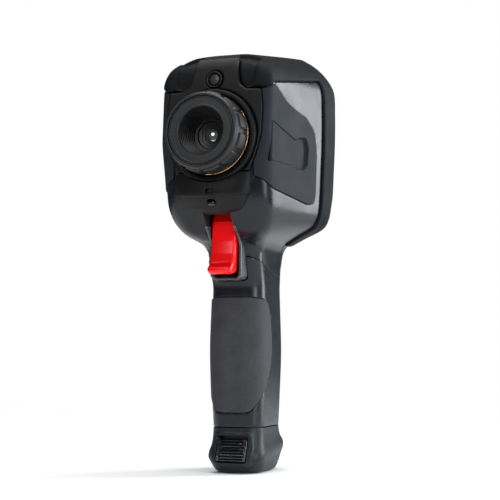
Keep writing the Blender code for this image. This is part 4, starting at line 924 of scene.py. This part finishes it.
FRONT = HIGH - 0.7
RIDGES = 9
bore = [(BORE_RADIUS, FRONT)]
run, drop = (BORE_RADIUS - 0.5 - BORE_END_RADIUS) / RIDGES, (BORE_DEPTH - 0.8) / RIDGES
for k in range(RIDGES):
    r0, h0 = BORE_RADIUS - 0.5 - run * k, FRONT - 0.8 - drop * k
    bore += [(r0, h0), (r0 - 0.1, h0 - 0.25), (r0 + 0.32, h0 - drop * 0.5), (r0 + 0.2, h0 - drop * 0.9)]
floor = FRONT - BORE_DEPTH
bore += [(BORE_END_RADIUS, floor), (9.0, floor - 0.1), (8.7, floor - 0.5), (8.5, floor - 1.4),
         (6.6, floor - 1.7), (6.3, floor - 2.1),
         (5.0, floor - 2.3), (4.75, floor - 2.6)]
cell = turned(
    "lens_cell",
    [*filleted([(20.9, FRONT - 0.7), (21.1, FRONT), (21.8, FRONT), (21.8, FRONT - 1.6),
                (tube_inner - 0.4, FRONT - 1.6),
                (tube_inner - 0.4, -8.0), (3.9, -8.0), (3.9, -1.5), (4.75, -1.5)],
                [0.1, 0.25, 0.4, 0.2, 0.2, 0, 0, 0, 0], 3),
     *reversed(bore), (16.4, FRONT), (16.7, FRONT - 0.18), (20.2, FRONT - 0.18), (20.4, FRONT), (20.6, FRONT),
     (20.7, FRONT - 0.7)],
    lens_place, 160, 28,
)
dress(cell, BLACK, "lens_cell", "lens_cell")
cell.data.materials.append(BAFFLE)
to_lens = lens_place.inverted()
for face in cell.data.polygons:
    local = to_lens @ face.center
    face.material_index = int(math.hypot(local.x,
                                         local.y) < (BORE_RADIUS - 0.3) * MM and local.z < (FRONT - 0.4) * MM)
element = turned(
    "front_element", [(0, 2.45), *[(r, 2.45 - r * r / 17) for r in (0.5, 1, 1.5, 2, 2.5, 3, 3.4, 3.8, 4.2)],
                      (4.5, 1.1), (4.5, -1.2), (0, -1.2)],
    lens_place, 64,
)
dress(element, GERMANIUM, "lens_cell", "front_element")
bezel = turned(
    "camera_bezel", filleted([(3.7, -3.2), (5.15, -3.2), (5.15, 0.9), (4.6, 0.9), (3.9, -0.7), (3.7, -0.8)],
                             [0, 0, 0.2, 0.2, 0.1, 0], 4),
    camera_place, 64,
)
dress(bezel, GLOSS, "housing", "camera_bezel")
window = turned("camera_window", [(0, 0.25), *[(r, 0.25 - r * r / 40) for r in (1, 2, 2.8, 3.2)], (3.55, -0.3),
                                  (3.6, -0.6), (3.6, -1.6), (0, -1.6)],
                camera_place, 48)
dress(window, SMOKED, "housing", "camera_window")


# --- chin, with the laser and the lamp
CHIN_LOW, CHIN_HIGH, CHIN_HALF = 164.2, 190.6, 26.2
CHIN_WRAP = 0.86  # the share of u that goes round the front; the rest runs back into the housing
CHIN_SQUARE = 0.8
CHIN_CORE_Y, CHIN_BACK_Y = -40, -38.0
LASER_Z, LAMP_Z = 179.0, 171.6
CHIN_ROWS = np.array([(0.0, 0.44, -48.6), (0.06, 0.6, -52.8), (0.22, 0.8, -57.6), (0.38, 0.91, -61.4),
                      (0.53, 0.97, -63.0),
                      (0.82, 1.0, -62.2), (1.0, 0.985, -60.6)])


def chin_surface(uv):
    u, v = uv[:, 0], uv[:, 1]
    share = np.clip(v, 0, 1)
    half = CHIN_HALF * hermite(CHIN_ROWS[:, 0], CHIN_ROWS[:, 1], share)
    front = hermite(CHIN_ROWS[:, 0], CHIN_ROWS[:, 2], share)
    side = np.maximum(front + 4.0, -51.5)
    a = np.clip(u / CHIN_WRAP, -1, 1) * np.pi / 2
    x = half * np.sign(a) * np.abs(np.sin(a)) ** CHIN_SQUARE
    y = side + (front - side) * np.abs(np.cos(a)) ** CHIN_SQUARE
    y = np.where(np.abs(u) > CHIN_WRAP, side + (np.abs(u) - CHIN_WRAP) / (1 - CHIN_WRAP) * (CHIN_BACK_Y - side),
                 y)
    into = np.clip(np.maximum(-v, v - 1), 0, 1)
    z = CHIN_LOW + share * (CHIN_HIGH - CHIN_LOW)
    return np.stack([x * (1 - into), CHIN_CORE_Y + (y - CHIN_CORE_Y) * (1 - into), z], axis=1)


def behind_skin(by):
    """Behind the housing's front face by more than a distance."""

    def made(p):
        z = np.clip(p[:, 2], TABLE[0, 0], HEAD_TOP)
        f, b, y0, y1, rf = [hermite(TABLE[:, 0], TABLE[:, k], z) for k in (1, 2, 3, 4, 5)]
        over = np.clip(np.abs(p[:, 0]) - (f - rf), 0, rf)
        return p[:, 1] - (y0 + rf - np.sqrt(np.maximum(rf**2 - over**2, 0)) + by)

    return made


def rectangle_front(x, z, half_x, half_z, radius):
    return front_view(rectangle(x, z, half_x, half_z, radius))


laser_hole = rectangle_front(0, LASER_Z, 2.35, 1.6, 0.35)
lamp_hole = rectangle_front(0, LAMP_Z, 2.8, 1.6, 1.5)


def lip_line(p):
    """The step between the two windows, curved up at its ends."""
    return p[:, 2] - (175.2 + 0.0025 * p[:, 0] ** 2)


chin = patch(
    "chin_cover", chin_surface,
    grid(spread((-1, 0), (-CHIN_WRAP, 8), (CHIN_WRAP, 140), (1, 8)),
         np.concatenate([spread((-0.9, 0), (0, 24)), spread((0, 0), (1, 66))[1:],
                         spread((1, 0), (1.9, 24))[1:]])),
    both(outside(collar_hole, laser_hole, lamp_hole), behind_skin(0.6)), 0.0, 0.3, -1.8,
    [(lip_line, lambda d: -1.1 * smooth(0.5 - d / 1.2), (0.6, 0.3, 0.0, -0.3, -0.6)),
     sunk(rectangle_front(0, LASER_Z, 3.3, 2.5, 1.0), 0.35, 0.4, (0.0, -0.4)),
     sunk(rectangle_front(0, LAMP_Z, 3.9, 2.3, 2.2), 0.4, 0.7, (0.0, -0.7))],
)
dress(chin, MATTE, "housing", "chin_cover")
lamp = loft("lamp_lens", [
    [(x, -57.9 - bulge, z) for x, z in rectangle(0, LAMP_Z, hx, hz, hz - 0.02, 8)]
    for hx, hz, bulge in ((2.5, 1.3, -4.0), (2.5, 1.3, 0.0), (2.3, 1.1, 0.35), (1.6, 0.6, 0.6), (0.8, 0.2, 0.7))
])
dress(lamp, GLASS, "housing", "lamp_lens")

# --- trigger and its rim
PIN_Y, PIN_Z = -31.0, 160.0
TRIGGER_FRONT, TRIGGER_TOP, TRIGGER_LOW = -38.2, 166.5, 127.4


def grown(outline, by):
    """An outline moved outwards by a distance."""
    count = len(outline)
    area = sum(a[0] * b[1] - b[0] * a[1] for a, b in zip(outline, outline[1:] + outline[:1]))
    turn = 1.0 if area > 0 else -1.0
    made = []
    for i in range(count):
        here = Vector(outline[i])
        into = (here - Vector(outline[i - 1])).normalized()
        out = (Vector(outline[(i + 1) % count]) - here).normalized()
        n1, n2 = Vector((into.y, -into.x)) * turn, Vector((out.y, -out.x)) * turn
        mean = (n1 + n2) / max((n1 + n2).length, 1e-6)
        made.append(tuple(here + mean * by / max(mean.dot(n1), 0.5)))
    return made


face = TRIGGER_FRONT
blade = filleted([
    (PIN_Y - 3.6, TRIGGER_TOP), (face + 2.6, TRIGGER_TOP - 0.3), (face - 0.3, TRIGGER_TOP - 5.4),
    (face - 0.6, PIN_Z - 11), (face - 2.0, PIN_Z - 19),
    (face - 4.6, TRIGGER_LOW + 7.4), (face - 8.2, TRIGGER_LOW + 4.4), (face - 8.6, TRIGGER_LOW + 2.2),
    (face - 5.4, TRIGGER_LOW),
    (PIN_Y - 4.6, TRIGGER_LOW + 1.2),
    (PIN_Y - 2.6, PIN_Z - 22), (PIN_Y - 1.5, PIN_Z - 14), (PIN_Y - 0.6, PIN_Z - 6), (PIN_Y + 3.2, PIN_Z - 2.2),
    (PIN_Y + 3.6, PIN_Z + 1.5),
    (PIN_Y + 1.6, PIN_Z + 3.6),
], [1, 2, 1.2, 12, 10, 6, 1.3, 1.1, 4, 3, 8, 8, 3, 1.5, 1.5, 1.5], 6)
ROUND = 1.9
stations = [
    (TRIGGER_HALF - ROUND * (1 - math.sin(a)),
     ROUND * (1 - math.cos(a))) for a in [math.pi / 2 * k / 8 for k in range(9)]
]
across = [(-x, by) for x, by in reversed(stations)] + stations
trigger = loft("trigger", [[(x, y, z) for y, z in grown(blade, -by)] for x, by in across], 45)
dress(trigger, RED, "trigger", "trigger")


def rim_front(z):
    """How far forward the rim reaches at a height."""
    stops = [(RIM_LOW, -33.6), (RIM_LOW + 2.5, -35.2), (146, -35.0), (150, -36.6), (153, -39.6), (156, -42.6),
             (RIM_TOP, -44.4)]
    return float(np.interp(z, [s[0] for s in stops], [s[1] for s in stops]))


middle = THROAT_HALF + RIM_WALL / 2
corner = 3.4
path = [(-middle, RIM_TOP - k) for k in range(33)]
low_z = RIM_LOW + RIM_WALL / 2
path = [(x, z) for x, z in path if z > low_z + corner + 1]
for k in range(13):
    a = math.pi + math.pi / 2 * k / 12
    path.append((-middle + corner + corner * math.cos(a), low_z + corner + corner * math.sin(a)))
path += [(x, low_z) for x in np.linspace(-middle + corner + 1, middle - corner - 1, 7)]
path += [(-x, z) for x, z in reversed(path[:-7])]
rings = []
half = RIM_WALL / 2
for i, (x, z) in enumerate(path):
    ahead = Vector(path[min(i + 1, len(path) - 1)]) - Vector(path[max(i - 1, 0)])
    out = Vector((ahead.y, -ahead.x)).normalized()
    front = rim_front(z)
    section = filleted([(-half, front), (half, front), (half, -24.5), (-half, -24.5)], [0.75, 0.75, 0, 0], 6)
    rings.append([(x + out.x * s, y, z + out.y * s) for s, y in section])
rim = loft("trigger_bezel", rings, 40)
dress(rim, RIM_PAINTED_HIGHLIGHT, "housing", "trigger_bezel")


def plates(name, boxes):
    """Thin walls, each a flat outline in the side view between two x values."""
    bm = bmesh.new()
    for outline, low_x, high_x in boxes:
        ends = [[bm.verts.new(Vector((x, y, z)) * MM) for y, z in outline] for x in (low_x, high_x)]
        for i in range(len(outline)):
            j = (i + 1) % len(outline)
            bm.faces.new((ends[0][i], ends[0][j], ends[1][j], ends[1][i]))
        bm.faces.new(ends[0])
        bm.faces.new(ends[1])
    bmesh.ops.recalc_face_normals(bm, faces=bm.faces)
    return finish_mesh(name, bm, 30)


WALL_SIDE = [(-22, 125.5), (-22, 169.4), (-45, 169.4), (-47.5, 164.5), (-45.2, 160), (-42, 157), (-37, 152.5),
             (-31, 147.5), (-27, 136), (-24, 125.5)]
CEILING = [(-22, 168.6), (-22, 169.4), (-46.8, 169.4), (-46.8, 168.6)]
throat = plates("trigger_throat", [
    (WALL_SIDE, THROAT_HALF + 0.05, THROAT_HALF + 0.6), (WALL_SIDE, -THROAT_HALF - 0.6, -THROAT_HALF - 0.05),
    (CEILING, -THROAT_HALF, THROAT_HALF),
    ([(-22, 125.5), (-22, 168.5), (-21.2, 168.5), (-21.2, 125.5)], -THROAT_HALF - 0.6, THROAT_HALF + 0.6),
])
dress(throat, BAFFLE, "housing", "head_front_shell")

# --- grip pad, foot and latch
PAD_BASE = grid(spread((-0.66, 0), (0.66, 110)), frange(34, 117, 1.0))
pad = patch("handle_grip", skin, PAD_BASE, inset(in_pad), PANEL_RISE, 0.7, -0.7)
dress(pad, PAD, "housing", "handle_grip")

FOOT_ROWS = np.array([(0.0, -4.0, 3.2), (0.04, -2.0, 1.5), (0.14, -0.4, -0.2), (0.3, 0.9, -2.2),
                      (0.46, 2.1, -3.9), (0.56, 1.8, -3.6),
                      (0.68, 0.7, -2.2), (0.84, 0.1, -1.0), (1.0, -0.1, -0.6)])
FOOT_ROUND = 12.5
FOOT_SLANT = 0.15  # how steeply its bulge rises towards the back


def foot_surface(uv):
    """The foot: v is 0 at the sole and 1 at the parting line, and below 0 it runs in over the sole."""
    u, v = uv[:, 0], uv[:, 1]
    share = np.clip(v, 0, 1)
    grow = hermite(FOOT_ROWS[:, 0], FOOT_ROWS[:, 1], share)
    reach = -hermite(FOOT_ROWS[:, 0], FOOT_ROWS[:, 2], share)
    base = TABLE[0]
    z = share * (FOOT_TOP - FOOT_SEAM)
    x, y = section_ring(base[1] + grow, base[2] + grow, base[3] - reach, base[4] + reach, FOOT_ROUND + 0 * grow,
                        FOOT_ROUND + 0 * grow, u)
    into = np.clip(-v, 0, 1)
    return np.stack([x * (1 - into), y * (1 - into), z + FOOT_SLANT * np.sin(np.pi * share) * y], axis=1)


LATCH_HALF, LATCH_LOW, LATCH_HEIGHT, LATCH_RIBS = 10.4, 7.7, 14.4, 8
SLOT_HALF, SLOT_LOW = 10.8, 7.2
SLOT_TOP = SLOT_LOW + LATCH_HEIGHT + 2.8
latch_pocket = both(front_view(filleted([(-SLOT_HALF, SLOT_LOW), (SLOT_HALF, SLOT_LOW), (SLOT_HALF, SLOT_TOP),
                                         (-SLOT_HALF, SLOT_TOP)], [2, 2, 2.4, 2.4])), in_front)
latch_lip = both(front_view(filleted([(-13.6, 4.6), (13.6, 4.6), (14.8, 16), (13.2, 27), (-13.2, 27),
                                      (-14.8, 16)], [4, 4, 20, 4, 4, 20])), in_front)
foot_base = grid(FULL_U, np.concatenate([spread((-0.97, 0), (0, 10)), spread((0, 0), (0.1, 10), (1, 60))[1:]]))
foot = patch(
    "foot_cap", foot_surface, foot_base, both(outside(latch_pocket), below(Z, FOOT_TOP - 0.2)), 0.0, 0.35, -3.0,
    [sunk(latch_lip, -0.75, 1.1, (0.0, -0.35, -0.7, -1.1))],
)
dress(foot, FOOT, "battery", "foot_cap")
lining = loft("foot_lining", [
    [(x, y, z) for x, y in rectangle(0, 1.4, 15.0, 20.0, 9.0)] for z in (3.0, FOOT_TOP - 1.2)
])
dress(lining, BAFFLE, "battery", "foot_cap")


def ribs(p):
    """The button's ribs, and the shallow valleys between them."""
    phase = (p[:, 2] - LATCH_LOW) / LATCH_HEIGHT * LATCH_RIBS
    inside = smooth((LATCH_HALF - 1.2 - np.abs(p[:, 0])) / 0.8)
    return inside * (0.8 * np.cos(2 * np.pi * (phase - 0.5)) - 0.6)


latch = patch(
    "latch_button", foot_surface, grid(spread((-0.34, 0), (0.34, 60)), spread((0.18, 0), (0.84, 130))),
    both(front_view(rectangle(0, LATCH_LOW + LATCH_HEIGHT / 2, LATCH_HALF, LATCH_HEIGHT / 2, 1.6)), in_front),
    0.35, 0.6, -2.6,
    [(lambda p: -ribs(p), lambda d: -d, ())],
)
dress(latch, LATCH, "latch", "latch_button")


# --- display, keys and screws
def back_piece(name, outline, place_z, rise, edge, under, features=(), step=0.4, at=(0, 0), reach=(6, 6)):
    """A plate on the back face, its outline and features in the back face's own frame."""
    base = grid(frange(at[0] - reach[0], at[0] + reach[0], step),
                frange(at[1] - reach[1], at[1] + reach[1], step))
    surface = flat_surface(BACK @ Matrix.Translation((0, 0, place_z)))
    return patch(name, surface, base, outline, rise, edge, under, features)


def paint_inside(obj, field, second):
    """A second material on the upward faces inside a field."""
    obj.data.materials.append(second)
    centres = np.array([f.center for f in obj.data.polygons]) / MM
    outwards = np.array([f.normal for f in obj.data.polygons]) @ np.array(BACK)[:3, 2]
    for face, inside in zip(obj.data.polygons, (field(centres) < 0) & (outwards > 0.5)):
        face.material_index = int(inside)


screen_area = back_view(rectangle(0, GLASS_MIDDLE + 0.6, 36.0, 24.4, 0.8))
glass = back_piece(
    "display_glass", back_view(rectangle(0, GLASS_MIDDLE, GLASS_HALF_W, GLASS_HALF_H, 2.7)), -1.0, 1.1, 0.3,
    0.0,
    [sunk(screen_area, 0.0, 1.0, (0.0,))], 1.5, (0, GLASS_MIDDLE), (42, 30),
)
dress(glass, GLASS, "housing", "display_glass")
paint_inside(glass, screen_area, SCREEN)


def mark_field(kind, x, y):
    """A small generic sign on a key: an arrow, a bar, a ring or two squares."""
    arrows = {"key_up": 0.0, "key_left": 90.0, "key_down": 180.0, "key_right": -90.0}
    if kind in arrows:
        turn = Matrix.Rotation(math.radians(arrows[kind]), 2)
        return back_view([tuple(Vector((x,
                                        y)) + turn @ Vector(p)) for p in ((-1.2, -0.6), (1.2, -0.6), (0, 0.9))])
    if kind == "key_ok":
        return back_view(rectangle(x, y, 0.9, 0.9, 0.8))
    if kind == "key_power":
        return both(back_disc(x, y, 1.8), outside(back_disc(x, y, 1.2)))
    if kind == "key_back":
        return back_view([(x - 1.9, y), (x - 0.2, y + 1.3), (x - 0.2, y + 0.45), (x + 1.9, y + 0.45),
                          (x + 1.9, y - 0.45), (x - 0.2, y - 0.45),
                          (x - 0.2, y - 1.3)])
    return both(back_view(rectangle(x, y, 1.9, 1.4, 0.3)), outside(back_view(rectangle(x, y, 1.3, 0.8, 0.1))))


for kind, (x, y, hx, hy, r) in KEY_SHAPES.items():
    outline, mark = back_view(rectangle(x, y, hx, hy, r)), mark_field(kind, x, y)
    key = back_piece(
        kind, outline, 0.0, 1.2, 0.55, -4.8,
        [sunk(outline, -0.25, 3.0, (-1.5, -3.0)), sunk(mark, 0.12, 0.1, (0.0, -0.1))],
        0.33, (x, y), (hx + 0.6, hy + 0.6),
    )
    dress(key, KEYS, kind, kind)
    paint_inside(key, mark, MARK)

for kind, (x, y) in SCREWS.items():
    cross = either(back_view(rectangle(x, y, 1.6, 0.38, 0.1)), back_view(rectangle(x, y, 0.38, 1.6, 0.1)))
    screw = back_piece(
        "screw_" + kind, back_disc(x, y, 2.6), -1.05, 1.3, 0.5, -1.0, [sunk(cross, 0.8, 0.12, (0.0, -0.12))],
        0.25, (x, y), (3, 3)
    )
    dress(screw, STEEL, "housing", "screw_" + kind)

# --- solid parts that stay as they are, with a finish
FINISHES = {
    "battery_contacts": STEEL, "battery_pack": WRAP, "camera_module": INNER, "detector_module": INNER,
    "display_module": INNER,
    "key_board": BOARD, "laser_module": BAFFLE, "main_board": BOARD, "port_bay": INNER, "port_sockets": STEEL,
    "rear_element": GERMANIUM,
    "shutter_blade": INNER, "shutter_motor": STEEL, "speaker": BLACK, "trigger_pin": STEEL,
    "trigger_switch": BLACK,
}
for name, finish in FINISHES.items():
    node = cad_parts[name]
    node.data.materials.clear()
    node.data.materials.append(finish)
    bevel = node.modifiers.new("Bevel", "BEVEL")
    bevel.width = 0.25 * MM
    bevel.segments = 2
    bevel.limit_method = "ANGLE"
    bevel.angle_limit = math.radians(40)

# --- camera, floor and light
AZIMUTH, PITCH = math.radians(22), math.radians(2.8)
CAMERA_HEIGHT = 0.096
HALF_FRAME = 0.165  # half the width that the picture covers, a metre from the camera
SIDEWAYS = -0.00264  # how far the middle of the picture is to the side, at a metre
SENSOR = 36.0
camera_data = bpy.data.cameras.new("camera")
camera_data.sensor_width = SENSOR
camera_data.lens = SENSOR / 2 / HALF_FRAME
camera = bpy.data.objects.new("camera", camera_data)
bpy.context.scene.collection.objects.link(camera)
camera.location = (math.sin(AZIMUTH), -math.cos(AZIMUTH), CAMERA_HEIGHT)
ahead = Vector((-math.sin(AZIMUTH), math.cos(AZIMUTH), math.tan(PITCH)))
look = Matrix.Rotation(math.atan(SIDEWAYS), 3, "Z") @ ahead
camera.rotation_euler = look.to_track_quat("-Z", "Y").to_euler()
bpy.context.scene.camera = camera


FLOOR_HALF, FLOOR_WHITE = 0.6, 0.96
AMBIENT = 0.10
COOL = (0.80, 0.90, 1.0)
LIGHTS = [  # name, place, what it points at, size in metres, watts, colour
    ("overhead", (0.0, -0.1, 2.2), (0, 0, 0), (2.2, 2.2), 56),
    ("right", (1.15, -0.42, 0.36), (0, 0, 0.16), (0.34, 0.8), 8, COOL),
    ("right_back", (0.95, 0.80, 0.55), (0.03, 0, 0.20), (0.40, 1.3), 18, (0.92, 0.96, 1.0)),
    ("front", (-0.25, -1.5, 0.9), (0, 0, 0.16), (0.5, 0.5), 6),
]


def area_light(name, place, at, size, power, colour=(1, 1, 1)):
    data = bpy.data.lights.new(name, "AREA")
    data.shape = "RECTANGLE"
    data.size, data.size_y = size
    data.energy = power
    data.color = colour
    light = bpy.data.objects.new(name, data)
    bpy.context.scene.collection.objects.link(light)
    light.location = place
    light.rotation_euler = (Vector(at) - Vector(place)).to_track_quat("-Z", "Y").to_euler()


bm = bmesh.new()
bmesh.ops.create_grid(bm, x_segments=2, y_segments=2, size=FLOOR_HALF)
floor_piece = finish_mesh("floor", bm)
paper = bpy.data.materials.new("floor_paper")
paper.use_nodes = True
shader = paper.node_tree.nodes["Principled BSDF"]
shader.inputs["Base Color"].default_value = (FLOOR_WHITE, FLOOR_WHITE, FLOOR_WHITE, 1)
shader.inputs["Roughness"].default_value = 0.8
floor_piece.data.materials.append(paper)

world = bpy.data.worlds.new("studio")
world.use_nodes = True
tree = world.node_tree
background = tree.nodes["Background"]
background.inputs["Color"].default_value = (1, 1, 1, 1)
rays = tree.nodes.new("ShaderNodeLightPath")
strength = tree.nodes.new("ShaderNodeMapRange")
strength.inputs["To Min"].default_value = AMBIENT
strength.inputs["To Max"].default_value = 1.0
tree.links.new(rays.outputs["Is Camera Ray"], strength.inputs["Value"])
tree.links.new(strength.outputs["Result"], background.inputs["Strength"])
bpy.context.scene.world = world
bpy.context.scene.view_settings.view_transform = "Standard"
for light in LIGHTS:
    area_light(*light)
